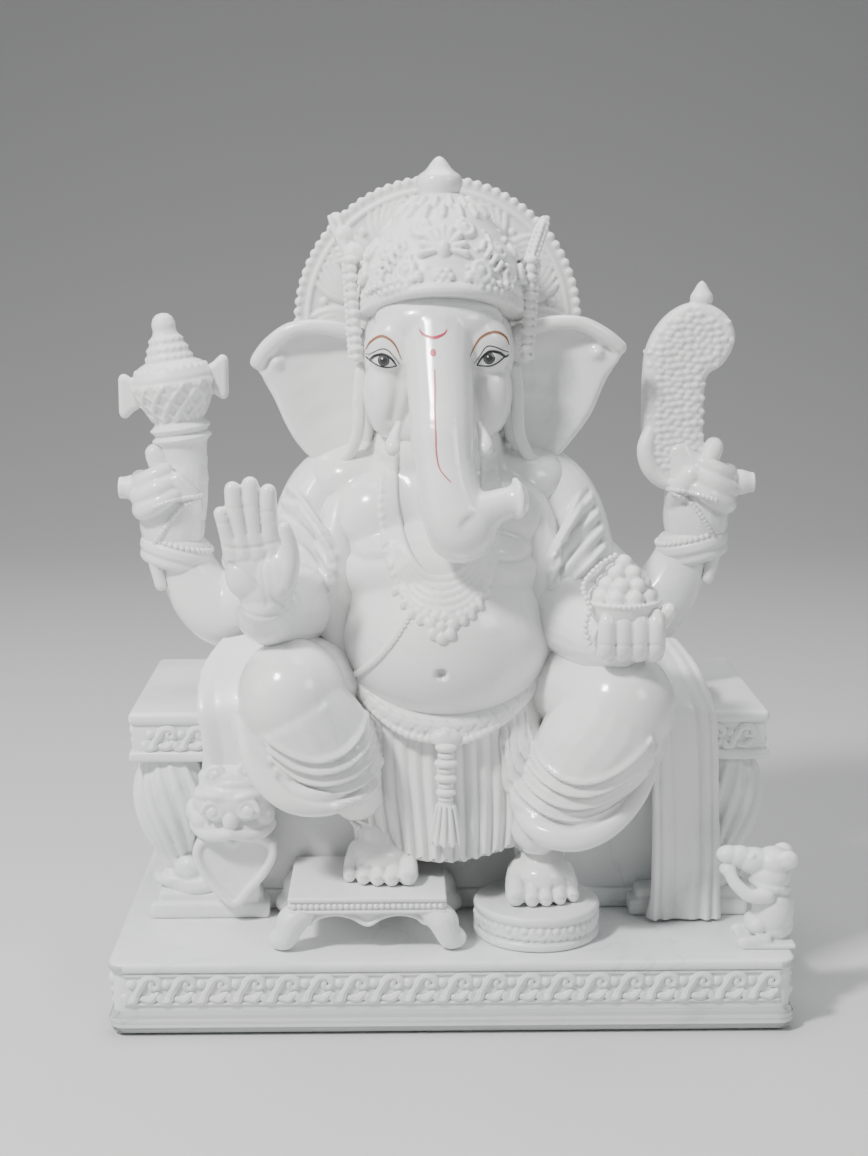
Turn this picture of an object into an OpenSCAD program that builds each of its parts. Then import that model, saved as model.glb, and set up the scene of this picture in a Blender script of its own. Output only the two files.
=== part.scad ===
// Seated four-armed elephant-headed idol in white marble, on a bench seat and a carved plinth.
// Left and right are as seen from the front. The figure is drawn about its own axis (x = 0)
// with z = 0 at the seat's top face, and on_seat() puts it in place.

/* [Plinth] */
// Width of the plinth
plinth_w = 480; // [460:5:520]
// Depth of the plinth
plinth_d = 270; // [262:2:300]
// Height of the plinth
plinth_h = 54; // [45:1:65]

/* [Seat] */
// Width of the seat slab
slab_w = 466; // [450:2:476]
// Depth of the seat slab
slab_d = 180; // [174:2:190]
// Thickness of the seat slab
slab_t = 37; // [28:1:45]
// Height of the seat's top face above the ground
seat_top = 211; // [205:1:220]

/* [Footrests] */
// Height of the footstool's top face above the plinth
footstool_h = 41; // [36:1:42]
// Width of the footstool's top
footstool_w = 111; // [100:1:112]
// Height of the oval lotus stool
lotus_h = 25; // [20:1:26]

/* [Figure] */
// Height of the figure above the seat, to the tip of the crown
figure_h = 395; // [380:5:420]
// Sideways place of the figure's axis
figure_x = -8; // [-10:1:0]
// Radius of the halo
halo_r = 109; // [100:1:110]

/* [Hidden] */

figure_scale = figure_h / 395;       // the figure is drawn at 395 mm
marble = [0.90, 0.90, 0.89];         // polished white marble
carved = [0.86, 0.86, 0.85];         // the duller carved ornament
slab_bottom = seat_top - slab_t;
slab_front = -50;                    // y of the slab's front face
slab_back = slab_front + slab_d;
core_front = -25;                    // y of the seat wall's front face
core_back = slab_back - 6;
stool_front = -118;                  // y of the footstool's front edge
stool_back = core_front - 2;
stool_right = -4;                    // x of the footstool's right edge
stool_t = 12;                        // thickness of the footstool's top
lotus_c = [58, -76];                 // centre of the lotus stool
lotus_r = [51, 46];                  // its half width and half depth
column_at = [203, -22];              // how far out a column's axis stands, and its y
round_fn = 14;                       // facets of a large rounded form
small_fn = 10;                       // facets of a small rounded form

// ---- helpers -------------------------------------------------------------------------------

module on_seat() translate([figure_x, 0, seat_top]) scale(figure_scale) children();

module egg(at, radii, turn = [0, 0, 0], fn = round_fn)
    translate(at) rotate(turn) hull() scale(radii) sphere(1, $fn = fn);

// A chain of balls, each [x, y, z, radius], hulled pair by pair.
module limb(path, fn = small_fn)
    for (i = [0 : len(path) - 2]) hull()
        for (p = [path[i], path[i + 1]]) translate([p.x, p.y, p.z]) sphere(p[3], $fn = fn);

// A box with rounded upright corners.
module rounded_box(size, r) linear_extrude(size.z) hull()
    for (x = [-1, 1], y = [-1, 1])
        translate([x * (size.x / 2 - r), y * (size.y / 2 - r)]) circle(r, $fn = 32);

// A flat outline standing up and facing the front, with rounded corners.
module plate(outline, y, t, r = 2)
    translate([0, y + t, 0]) rotate([90, 0, 0])
        linear_extrude(t) offset(r, $fn = 16) offset(-r) polygon(outline);

module mirrored(side) mirror([side < 0 ? 1 : 0, 0, 0]) children();

// ---- plinth, seat and footrests ------------------------------------------------------------

module plinth() color(marble) difference() {
    rounded_box([plinth_w, plinth_d, plinth_h], 7);
    for (z = [13, plinth_h - 6])     // the two grooves that frame the carved band
        translate([0, 0, z]) difference() {
            linear_extrude(2) square([plinth_w + 2, plinth_d + 2], center = true);
            translate([0, 0, -1]) rounded_box([plinth_w - 3, plinth_d - 3, 4], 6);
        }
}

module seat_core_form() {
    translate([0, (core_front + core_back) / 2, plinth_h])
        rounded_box([2 * column_at.x - 22, core_back - core_front, slab_bottom - plinth_h], 3);
    translate([0, (core_front + core_back) / 2, plinth_h])
        rounded_box([2 * column_at.x - 10, core_back - core_front + 8, 15], 2);
}

module seat_core() color(marble) difference() {
    seat_core_form();
    for (s = [-1, 1]) column_foot_form(s);
}

module slab_form() translate([0, (slab_front + slab_back) / 2, slab_bottom])
    rounded_box([slab_w, slab_d, slab_t], 8);

module seat_slab() color(marble) difference() {
    slab_form();
    for (z = [slab_bottom + 7, seat_top - 9])
        translate([0, slab_front - 1, z]) cube([slab_w + 2, 2.5, 2], center = true);
}

module column_foot_form(side)
    translate([side * (column_at.x - 26), column_at.y + 2, plinth_h]) rounded_box([88, 56, 16], 3);

module column_foot(side) color(marble) column_foot_form(side);

// A pillar that bulges out under the slab, draws in to an ankle and ends in a round knob.
module column_form(side) mirrored(side) {
    top = slab_bottom - 1;
    limb([
        [column_at.x - 6, column_at.y, top - 10, 18], [column_at.x + 6, column_at.y, top - 24, 20],
        [column_at.x + 6, column_at.y, top - 42, 18], [column_at.x - 6, column_at.y, top - 62, 13],
        [column_at.x - 12, column_at.y - 2, top - 78, 10], [column_at.x - 14, column_at.y - 6, top - 88, 13]
    ]);
    for (z = [top - 8, top - 30, top - 52])   // leaves that swell the pillar's inner side
        egg([column_at.x - 20, column_at.y - 2, z], [20, 20, 14]);
}

module column(side) color(carved) difference() {
    column_form(side);
    seat_core_form();
    column_foot_form(side);
    translate([0, 0, slab_bottom + 100]) cube([600, 400, 200], center = true);
}

module footstool_top() color(marble)
    translate([stool_right - footstool_w / 2, (stool_front + stool_back) / 2, plinth_h + footstool_h - stool_t])
        rounded_box([footstool_w, stool_back - stool_front, stool_t], 3);

// The scalloped skirt under the footstool's top, on its front and both sides.
module footstool_apron() color(carved) {
    top = plinth_h + footstool_h - stool_t;
    c = stool_right - footstool_w / 2;
    arch = [for (i = [0 : 24]) [c - 34 + i * 68 / 24, top - 10 + 6 * abs(sin(i * 360 / 24))]];
    outline = concat([[c + 38, top], [c - 38, top], [c - 38, top - 10]], arch, [[c + 38, top - 10]]);
    plate(outline, stool_front + 5, 6, 0.5);
    for (x = [c - 44, c + 38]) translate([x, stool_front + 24, top - 9]) cube([6, 50, 9]);
}

// Four splayed legs, each a separate solid.
module footstool_legs() color(carved) {
    top = plinth_h + footstool_h - stool_t;
    for (s = [-1, 1], y = [stool_front + 11, stool_back - 10]) difference() {
        translate([stool_right - footstool_w / 2, y, 0]) mirrored(s)
            limb([[43, 0, top - 5, 8], [53, 0, top - 12, 8], [55, 0, plinth_h + 12, 6.5], [62, -1, plinth_h + 6, 7]], 8);
        translate([stool_right - footstool_w / 2, y, top + 20]) cube([300, 60, 40], center = true);
        translate([stool_right - footstool_w / 2, y, plinth_h - 20]) cube([300, 60, 40], center = true);
        // clear of the skirt that fills the span between the front legs
        translate([stool_right - footstool_w / 2, stool_front + 8, top - 5]) cube([76, 8, 12], center = true);
        for (x = [-41, 41])
            translate([stool_right - footstool_w / 2 + x, stool_front + 49, top - 4.5]) cube([6, 51, 9.5], center = true);
    }
}

module lotus_stool_form() translate([lotus_c.x, lotus_c.y, plinth_h]) hull() {
    scale([lotus_r.x - 2, lotus_r.y - 2, 1]) cylinder(h = lotus_h, r = 1, $fn = 40);
    translate([0, 0, 3]) scale([lotus_r.x, lotus_r.y, 1]) cylinder(h = lotus_h - 8, r = 1, $fn = 40);
}

module lotus_stool() color(carved) lotus_stool_form();

// ---- drapes, shield, mask and mouse --------------------------------------------------------

// Cloth that falls over the slab's front edge.
module drape_left() color(marble) difference() {
    union() {
        hull() {
            translate([-155, -52, seat_top + 2]) cube([46, 14, 3], center = true);
            translate([-155, slab_front - 5, slab_bottom + 20]) cube([42, 10, 30], center = true);
        }
        translate([-157, slab_front - 5, slab_bottom - 4]) cube([40, 10, 40], center = true);
        translate([-160, -25, seat_top + 9]) rotate([0, 12, 0]) cube([44, 60, 16], center = true);
    }
    slab_form();
    on_seat() leg_form(-1);
    shield_form();
    mask_form();
}

module drape_right_form() {
    translate([170, slab_front - 6, (plinth_h + seat_top) / 2]) linear_extrude(seat_top - plinth_h, center = true)
        polygon([for (i = [0 : 30]) [-31 + i * 62 / 30, -4 - 3 * abs(sin(i * 36))], [31, 6], [-31, 6]]);
    translate([168, -28, seat_top + 8]) rotate([0, -14, 0]) cube([58, 56, 18], center = true);
}

module drape_right() color(marble) difference() {
    drape_right_form();
    on_seat() leg_form(1);
    on_seat() sweets_hand_form();
    slab_form();
}

shield_c = [-158, -64];
module shield_form() plate([
    [shield_c.x - 27, 124], [shield_c.x + 29, 124], [shield_c.x + 32, 112], [shield_c.x + 28, 98],
    [shield_c.x + 14, 80], [shield_c.x - 1, plinth_h + 14], [shield_c.x - 12, 80], [shield_c.x - 27, 98], [shield_c.x - 30, 112]
], shield_c.y, 26, 3);

module shield() color(carved) difference() {
    union() {
        shield_form();
        translate([shield_c.x, shield_c.y + 18, plinth_h + 8]) cube([24, 22, 16], center = true);
    }
    column_form(-1);
    column_foot_form(-1);
    seat_core_form();
}

// A horned lion face: brow, two round eyes, cheeks and a curled crest.
module mask_form() {
    egg([shield_c.x, shield_c.y + 8, 146], [33, 22, 22]);
    egg([shield_c.x, shield_c.y + 6, 166], [30, 18, 15]);
    for (s = [-1, 1]) {
        egg([shield_c.x + s * 15, shield_c.y - 8, 143], [13, 9, 12], fn = small_fn);
        egg([shield_c.x + s * 26, shield_c.y + 2, 166], [9, 9, 9], fn = small_fn);
    }
    egg([shield_c.x + 6, shield_c.y - 2, 176], [12, 9, 9], fn = small_fn);
    egg([shield_c.x, shield_c.y - 8, 131], [9, 8, 8], fn = small_fn);
}

module lion_mask() color(carved) difference() {
    mask_form();
    shield_form();
    column_form(-1);
    seat_core_form();
    on_seat() leg_form(-1);
    slab_form();
}

// The mouse sits at the front right corner with its muzzle turned out, holding a sweet.
module mouse() color(marble) difference() {
    union() {
        limb([[222, -98, plinth_h + 18, 19], [223, -98, plinth_h + 36, 16], [221, -100, plinth_h + 54, 13]]);
        limb([[213, -98, plinth_h + 56, 13], [226, -100, plinth_h + 57, 12], [235.8, -103, plinth_h + 57, 10]], 8);
        egg([199, -96, plinth_h + 62], [12, 10, 9], fn = small_fn);
        limb([[212, -112, plinth_h + 34, 6], [199, -112, plinth_h + 40, 5], [193, -108, plinth_h + 48, 5]], 8);
        limb([[215, -110, plinth_h + 12, 9], [226, -114, plinth_h + 7, 7]], 8);
        egg([212, -92, plinth_h + 8], [22, 20, 9]);
    }
    translate([0, 0, plinth_h - 50]) cube([600, 400, 100], center = true);
}

// ---- legs and clothing ---------------------------------------------------------------------

// Hip, knee, shin and ankle under the dhoti. z is measured down from the seat's top face.
function leg_path(side) = side < 0
    ? [[-40, -8, 30, 42], [-96, -84, 21, 45], [-84, -86, -18, 42], [-64, -82, -50, 34], [-46, -76, -78, 23]]
    : [[44, -8, 28, 42], [114, -84, 12, 45], [106, -86, -24, 42], [88, -82, -54, 34], [71, -74, -80, 23]];

module leg_form(side) limb(leg_path(side), round_fn);

module leg(side) color(marble) difference() {
    on_seat() leg_form(side);
    on_seat() belly_form();
    if (side < 0) shield_form();
    translate([0, 60, seat_top - 60]) cube([600, 2 * (60 - core_front), 120], center = true);
    slab_form();
    foot_form(side);
    translate([0, 0, plinth_h + 25]) cube([600, 400, 2 * 41 - 20], center = true);
}

function foot_top(side) = plinth_h + (side < 0 ? footstool_h : lotus_h);
function foot_x(side) = side < 0 ? -51 : 66;

// A bare foot: heel, instep and five toes.
module foot_form(side) {
    z = foot_top(side);
    translate([foot_x(side), 0, z]) {
        limb([[0, -52, 14, 15], [0, -72, 12, 19], [0, -86, 7, 15]], 12);
        limb([[0, -56, 10, 16], [0, -58, 36, 19]], 12);
        for (i = [0 : 4]) {
            x = (i - 2) * 9.5 * -side;
            limb([[x, -82, 5, 5.5], [x * 1.05, -95 + 1.6 * i, 3.5, 5.5 - 0.5 * i]], 8);
        }
    }
}

module foot(side) color(marble) difference() {
    foot_form(side);
    translate([0, 0, foot_top(side) - 50]) cube([600, 400, 100], center = true);
    seat_core_form();
}

// The pleated cloth that hangs between the knees.
module skirt_form() {
    pleats = [for (i = [0 : 48]) [-52 + i * 108 / 48, -74 - 4 * abs(sin(i * 360 / 16)) - 10 * sin(i * 180 / 48)]];
    translate([0, 0, -88]) linear_extrude(96) polygon(concat(pleats, [[56, -50], [-52, -50]]));
    hull() { translate([-52, -60, -10]) cube([108, 40, 20]); translate([-40, -30, 10]) cube([84, 20, 14]); }
}

module dhoti_skirt() color(marble) difference() {
    on_seat() skirt_form();
    for (s = [-1, 1]) { on_seat() leg_form(s); foot_form(s); }
    on_seat() belly_form();
    on_seat() belt_form();
    on_seat() tassel_form();
    on_seat() torso_form();
    translate([0, 60, seat_top - 60]) cube([600, 2 * (60 - slab_front), 120.1], center = true);
}

module belly_form() egg([6, -28, 68], [78, 79, 64], fn = 22);

module belly() color(marble) difference() {
    on_seat() belly_form();
    translate([figure_x, 0, seat_top]) scale(figure_scale) egg([2, -107, 50], [6, 6, 5], fn = 12);   // navel
    on_seat() trunk_form();
    on_seat() necklace_form();
}

// Chest, shoulders, back and hips.
module torso_form() {
    egg([0, 2, 136], [86, 58, 62]);
    egg([0, 12, 62], [90, 60, 70]);
    egg([0, 14, 22], [98, 58, 36]);
    for (s = [-1, 1]) {
        egg([s * 34, -28, 140], [36, 34, 32], fn = small_fn);
        egg([s * 60, 0, 162], [34, 34, 26], fn = small_fn);
    }
    egg([0, -8, 190], [42, 40, 34]);
}

module torso() color(marble) difference() {
    on_seat() torso_form();
    on_seat() belly_form();
    on_seat() head_form();
    on_seat() trunk_form();
    on_seat() necklace_form();
    for (s = [-1, 1]) { on_seat() leg_form(s); on_seat() shawl_form(s); }
    translate([0, 0, seat_top - 50]) cube([600, 400, 100], center = true);
}

// A rope of carved flowers that lies in the fold under the belly.
function belt_point(a) = [6 + 70 * cos(a), -34 - 62 * pow(max(0, -sin(a)), 0.8), 36 + 50 * sin(a)];
module belt_form() limb([for (a = [-160 : 20 : -20]) concat(belt_point(a), [9])], 8);

module belt() color(carved) difference() {
    on_seat() belt_form();
    on_seat() belly_form();
    for (s = [-1, 1]) on_seat() leg_form(s);
}

module tassel_form() {
    limb([[10, -92, -14, 7], [10, -93, -26, 8.5]], 8);
    limb([[10, -93, -26, 6], [10, -93, -40, 8]], 8);
    limb([[10, -93, -40, 6], [10, -93, -56, 9]], 8);
    hull() for (z = [-56, -82]) translate([10, -90, z]) scale([1, 0.6, 0.4]) sphere(z < -60 ? 12 : 9, $fn = 8);
}

module belt_tassel() color(carved) difference() {
    on_seat() tassel_form();
    on_seat() belt_form();
    on_seat() belly_form();
}

// ---- ornaments on the chest ----------------------------------------------------------------

// A broad bib necklace that narrows to a pendant on the belly.
module necklace_form() {
    path = [[-40, -56, 150, 8], [-34, -78, 118, 10], [-18, -92, 98, 11], [0, -100, 84, 11], [18, -92, 98, 11], [32, -78, 118, 10], [40, -56, 150, 8]];
    limb(path, 8);
    hull() for (p = [[-16, -84, 112], [16, -84, 112], [0, -98, 76]]) translate(p) sphere(8, $fn = 8);
}

module necklace() color(carved) difference() {
    on_seat() necklace_form();
    on_seat() trunk_form();
}

// A beaded cord from the left shoulder down across the belly.
function thread_point(t) = [
    -20 - 50 * t, -28 - 80 * sqrt(max(0, 1 - pow((-26 - 50 * t) / 80, 2) - pow((20 - 52 * t) / 64, 2))), 88 - 52 * t];
module sacred_thread() color(carved) difference() {
    on_seat() limb([for (i = [0 : 8]) concat(thread_point(i / 8), [3.2])], 8);
    on_seat() belly_form();
    on_seat() necklace_form();
    on_seat() leg_form(-1);
}

// A shawl over each shoulder that wraps the upper arm.
module shawl_form(side) mirrored(side)
    limb([[56, 4, 176, 20], [84, 0, 150, 28], [94, -16, 118, 29], [94, -30, 92, 30]], round_fn);

module shawl(side) color(marble) difference() {
    on_seat() shawl_form(side);
    on_seat() belly_form();
    on_seat() head_form();
    on_seat() leg_form(side);
    on_seat() front_arm_form(side);
}

// ---- front arms and hands ------------------------------------------------------------------

function front_arm_path(side) = side < 0
    ? [[-104, -44, 80, 31], [-116, -74, 84, 27], [-122, -98, 94, 22]]
    : [[92, -42, 74, 31], [108, -74, 66, 27], [120, -100, 66, 21]];

module front_arm_form(side) limb(front_arm_path(side), round_fn);

module forearm(side) color(marble) difference() {
    on_seat() front_arm_form(side);
    on_seat() leg_form(side);
    on_seat() belly_form();
    if (side < 0) on_seat() blessing_hand_form();
    else on_seat() { sweets_hand_form(); bowl_form(); }
}

// Each finger of the raised hand: root and tip [x, y, z, radius].
finger_paths = [
    [[-141, -112, 140, 6.5], [-146, -116, 158, 5.5]],
    [[-133, -112, 146, 7], [-139, -117, 174, 6]],
    [[-122, -112, 148, 7.5], [-128, -117, 177, 6.5]],
    [[-110, -112, 146, 7.5], [-114, -117, 173, 6]],
    [[-103, -114, 116, 8], [-103, -120, 136, 6], [-105, -124, 150, 5.5]]
];

// The raised open hand, palm to the front.
module blessing_hand_form() {
    hull() {
        translate([-120, -106, 96]) scale([1, 0.8, 1]) sphere(22, $fn = 14);
        translate([-134, -110, 138]) sphere(10, $fn = 8);
        translate([-108, -110, 138]) sphere(10, $fn = 8);
    }
    egg([-112, -116, 110], [14, 12, 20], fn = small_fn);
    for (f = finger_paths) limb(f, 8);
}

module hand_blessing() color(marble) difference() {
    on_seat() blessing_hand_form();
    on_seat() leg_form(-1);
}

// The open hand that carries the sweets.
module sweets_hand_form() {
    hull() {
        translate([124, -104, 58]) sphere(17, $fn = 14);
        translate([132, -112, 66]) scale([1, 1, 0.6]) sphere(20, $fn = 14);
    }
    for (i = [0 : 3]) limb([[108 + 12 * i, -112, 56, 6.5], [112 + 11 * i, -125, 60, 6.5], [113 + 10 * i, -129, 76, 6]], 8);
    limb([[146, -108, 72, 7], [152, -118, 86, 6.5]], 8);
}

module hand_sweets() color(marble) difference() {
    on_seat() sweets_hand_form();
    on_seat() leg_form(1);
    on_seat() bowl_form();
}

// A bowl piled with round sweets.
module bowl_form() {
    hull() {
        translate([126, -108, 76]) scale([1, 0.85, 0.5]) sphere(21, $fn = 18);
        translate([126, -108, 88]) scale([1, 0.85, 0.3]) sphere(24, $fn = 18);
    }
    for (a = [0 : 60 : 300]) translate([126 + 13 * cos(a), -108 + 11 * sin(a), 98]) sphere(8, $fn = 8);
    for (a = [30, 150, 270]) translate([126 + 7 * cos(a), -108 + 6 * sin(a), 110]) hull() sphere(8, $fn = 8);
    hull() for (z = [92, 104]) translate([126, -108, z]) sphere(12, $fn = 8);
    hull() { translate([124, -108, 112]) sphere(8, $fn = 8); translate([123, -108, 124]) sphere(5, $fn = 8); }
}

module sweets_bowl() color(carved) on_seat() bowl_form();

// ---- rear arms, hands and emblems ----------------------------------------------------------

function rear_elbow(side) = side < 0 ? [-160, 28, 54] : [158, 28, 52];
function rear_wrist(side) = side < 0 ? [-197, 30, 104] : [194, 30, 108];

module rear_arm_form(side) {
    e = rear_elbow(side);
    limb([[side * 78, 22, 128, 30], [side * 120, 26, 86, 30], concat(e, [29])], round_fn);
}

module rear_forearm_form(side) {
    e = rear_elbow(side);
    w = rear_wrist(side);
    limb([concat(e, [28.5]), concat((e + w) / 2 + [side * 4, 0, -6], [27]), concat(w, [22])], round_fn);
}

module rear_arm(side) color(marble) difference() {
    on_seat() rear_arm_form(side);
    on_seat() torso_form();
    on_seat() shawl_form(side);
    on_seat() front_arm_form(side);
}

module rear_forearm(side) color(marble) difference() {
    on_seat() rear_forearm_form(side);
    on_seat() rear_arm_form(side);
    on_seat() bangle_form(side);
    on_seat() fist_form(side);
}

// A thick ring tilted round the wrist.
module bangle_form(side) translate(rear_wrist(side) + [0, 0, 6]) rotate([0, -side * 14, 0])
    rotate_extrude($fn = 32) translate([22, 0]) circle(6.5, $fn = 16);

module bangle(side) color(carved) difference() {
    on_seat() bangle_form(side);
    on_seat() fist_form(side);
}

// A closed hand whose fingers wrap a handle that points outwards.
module fist_form(side) {
    w = rear_wrist(side);
    translate(w) mirrored(side) {
        limb([[0, 0, 4, 25], [2, -2, 30, 24], [2, -2, 48, 18]], 12);
        limb([[-6, -6, 54, 14], [-4, -6, 62, 12]]);
        for (i = [0 : 3]) limb([[8 + 2 * i, -14, 40 + 8 * i, 7], [24 - i, -16, 42 + 7 * i, 7], [30 - i, -8, 44 + 6 * i, 7]], 8);
        limb([[-14, -16, 40, 8], [2, -24, 52, 7]], 8);
    }
}

module fist(side) color(marble) difference() {
    on_seat() fist_form(side);
    if (side < 0) { on_seat() axe_form(); on_seat() axe_handle_form(); }
    else { on_seat() noose_form(); on_seat() noose_handle_form(); }
}

// A jar-shaped axe head: neck ring, lattice bowl, stepped cap and a lug on either side.
module axe_form() translate([-186.8, 26, 172]) rotate([0, -9, 0]) {
    rotate_extrude($fn = 40) polygon([
        [0, 0], [19, 0], [20.5, 3], [20.5, 7], [19, 9.5], [21, 12], [21, 20], [18, 23],
        [20, 30], [27, 42], [30, 52], [29, 58], [24, 64], [18, 70], [17.5, 76], [15, 78],
        [14.5, 84], [11.5, 86], [11, 92], [8, 94], [8.5, 99], [7.5, 104], [4, 107.5], [0, 108.5]
    ]);
    for (s = [-1, 1]) translate([s * 34, 0, 52]) rotate([0, 9, 0]) hull() {
        translate([-s * 8, 0, 0]) cube([4, 16, 18], center = true);
        translate([s * 5, 0, 0]) cube([7, 20, 32], center = true);
    }
}

module axe() color(carved) on_seat() axe_form();

module axe_handle_form() translate([-214, 22, 152]) rotate([0, 90, 0]) {
    translate([0, 0, -22]) cylinder(h = 26, r = 9, $fn = 32);
    translate([0, 0, -12]) cylinder(h = 5, r = 11.5, $fn = 32);
}

module axe_handle() color(marble) difference() {
    on_seat() axe_handle_form();
    on_seat() axe_form();
}

// A beaded noose folded into a plume with a curled tip and a bud on top.
module noose_form() {
    plate([
        [160, 166], [155, 190], [153, 212], [153, 236], [155, 256], [162, 272], [174, 284], [188, 291], [202, 290],
        [214, 282], [220, 268], [219, 258], [212, 246], [201, 238], [198, 222], [197, 196], [200, 176], [186, 160], [172, 158]
    ], 14, 28, 4);
    translate([195, 28, 286]) rotate_extrude($fn = 32)
        polygon([[0, 0], [9, 0], [8, 3], [9.5, 6], [9.5, 11], [6, 16], [2.5, 20], [0, 23]]);
}

module noose() color(carved) on_seat() noose_form();

module noose_handle_form() translate([226, 22, 158]) rotate([0, 90, 0]) {
    translate([0, 0, -14]) cylinder(h = 24, r = 10.5, $fn = 32);
    translate([0, 0, -8]) cylinder(h = 6, r = 13, $fn = 32);
}

module noose_handle() color(marble) difference() {
    on_seat() noose_handle_form();
    on_seat() noose_form();
}

// ---- head ----------------------------------------------------------------------------------

module head_form() {
    egg([0, -8, 256], [57, 56, 52], fn = 18);
    for (s = [-1, 1]) {
        egg([s * 36, -36, 228], [21, 26, 34]);
        egg([s * 22, -52, 262], [24, 14, 22]);
    }
    egg([0, -20, 212], [44, 38, 26]);
}

trunk_path = [
    [0, -44, 268, 30], [-1, -62, 246, 27], [-2, -76, 220, 26], [-1, -88, 194, 26], [4, -98, 168, 25.5],
    [14, -105, 149, 24], [27, -110, 141, 20], [40, -112, 148, 15.5], [50, -113, 158, 12.5], [58, -113, 163, 11.5]
];

module trunk_form() {
    limb(trunk_path, 14);
    egg([10, -94, 143], [24, 20, 21]);
}

module trunk() color(marble) difference() {
    on_seat() trunk_form();
    on_seat() crown_form();
    on_seat() translate([70, -113, 166]) rotate([0, 80, 0]) cylinder(h = 12, r = 5, center = true, $fn = 24);
}

module head() color(marble) difference() {
    on_seat() head_form();
    on_seat() trunk_form();
    on_seat() crown_form();
}

module tusk(side) color(marble) difference() {
    on_seat() hull() {
        translate([side * 27, -72, 208]) sphere(4, $fn = 12);
        translate([side * 33, -80, 192]) sphere(6, $fn = 12);
    }
    on_seat() trunk_form();
    on_seat() head_form();
}

// Ear outline from its root at the head round to the lower edge.
ear_outline = [
    [44, 262], [58, 272], [72, 279], [98, 280], [114, 275], [124, 268], [135, 258], [137, 252], [127, 243],
    [117, 224], [105, 205], [94, 192], [84, 180], [74, 173], [60, 178], [52, 188], [46, 205]
];
ear_drop = [0, 7];   // how far the left ear's tip hangs below the right one's

module ear_form(side) mirrored(side) rotate([0, 0, -6])
    translate([0, 0, side < 0 ? -ear_drop[1] / 2 : ear_drop[1] / 2]) difference() {
        plate(ear_outline, -2, 14, 4);
        translate([0, -9, 0]) plate([for (p = ear_outline) [86 + 0.82 * (p.x - 86), 226 + 0.8 * (p.y - 226)]], 0, 10, 4);
    }

module ear(side) color(marble) difference() {
    on_seat() ear_form(side);
    on_seat() head_form();
    on_seat() torso_form();
    on_seat() shawl_form(side);
    on_seat() halo_form();
}

// ---- crown, halo and hanging ornaments -----------------------------------------------------

crown_c = [3, -6];
module crown_form() translate([crown_c.x, crown_c.y, 0]) rotate_extrude($fn = 48) polygon([
    [0, 284], [56, 284], [62, 287], [63.5, 292], [62, 297], [63, 302], [61, 307], [60, 316], [57, 324],
    [50, 333], [42, 342], [36, 350], [30, 357], [22, 364], [18, 366], [0, 366]
]);

module crown() color(carved) on_seat() crown_form();

module crown_finial() color(marble) on_seat() translate([crown_c.x - 2, crown_c.y, 366]) rotate_extrude($fn = 40)
    polygon([[0, 0], [15, 0], [16.5, 3], [16.5, 12], [15, 15], [11, 17], [8, 20], [5.5, 25], [3, 28], [0, 29]]);

// The disc behind the head, with a raised rim and a recessed centre.
module halo_form() translate([1, 42, 276]) rotate([-90, 0, 0]) rotate_extrude($fn = 60) polygon([
    [0, 4], [66, 4], [70, 0], [96, 0], [104, 3], [halo_r, 8], [halo_r, 14], [104, 19], [96, 22], [0, 22]
]);

module halo() color(carved) difference() {
    on_seat() halo_form();
    on_seat() crown_form();
    on_seat() torso_form();
    on_seat() head_form();
    for (s = [-1, 1]) on_seat() shawl_form(s);
}

// A string of beads that hangs from the crown in front of each ear.
module bead_string(side) color(carved) difference() {
    on_seat() limb([for (i = [0 : 9]) [side * (64 - 0.5 * i) + 2, -22 - 0.8 * i, 320 - 7 * i, i % 2 == 0 ? 6.5 : 5]], 8);
    on_seat() crown_form();
    on_seat() head_form();
    on_seat() ear_form(side);
}

// The side plume of the crown.
module plume(side) color(carved) difference() {
    on_seat() limb([[side * 62 + 2, -14, 322, 8], [side * 67 + 2, -10, 332, 8.5], [side * 72 + 2, -6, 344, 6], [side * 74 + 2, -4, 352, 3.5]], 16);
    on_seat() crown_form();
    on_seat() halo_form();
    on_seat() limb([for (i = [0 : 9]) [side * (64 - 0.5 * i) + 2, -22 - 0.8 * i, 320 - 7 * i, i % 2 == 0 ? 6.5 : 5]], 8);
}

// ---- one line for each node ----------------------------------------------------------------

plinth();
seat_core();
seat_slab();
column(-1);  // column_left
column(1);  // column_right
column_foot(-1);  // column_foot_left
column_foot(1);  // column_foot_right
drape_left();
drape_right();
shield();
lion_mask();
footstool_top();
footstool_apron();
footstool_legs();
lotus_stool();
foot(-1);  // foot_left
foot(1);  // foot_right
leg(-1);  // leg_left
leg(1);  // leg_right
dhoti_skirt();
belly();
torso();
belt();
belt_tassel();
necklace();
sacred_thread();
shawl(-1);  // shawl_left
shawl(1);  // shawl_right
forearm(-1);  // forearm_left
forearm(1);  // forearm_right
hand_blessing();
hand_sweets();
sweets_bowl();
rear_arm(-1);  // rear_arm_left
rear_arm(1);  // rear_arm_right
rear_forearm(-1);  // rear_forearm_left
rear_forearm(1);  // rear_forearm_right
bangle(-1);  // bangle_left
bangle(1);  // bangle_right
fist(-1);  // fist_left
fist(1);  // fist_right
axe();
axe_handle();
noose();
noose_handle();
head();
trunk();
tusk(-1);  // tusk_left
tusk(1);  // tusk_right
ear(-1);  // ear_left
ear(1);  // ear_right
crown();
crown_finial();
halo();
bead_string(-1);  // bead_string_left
bead_string(1);  // bead_string_right
plume(-1);  // plume_left
plume(1);  // plume_right
mouse();
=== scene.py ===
import bpy
import numpy as np
from math import atan2, cos, degrees, hypot, pi, radians, sin, sqrt
from mathutils import Vector, Matrix


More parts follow.
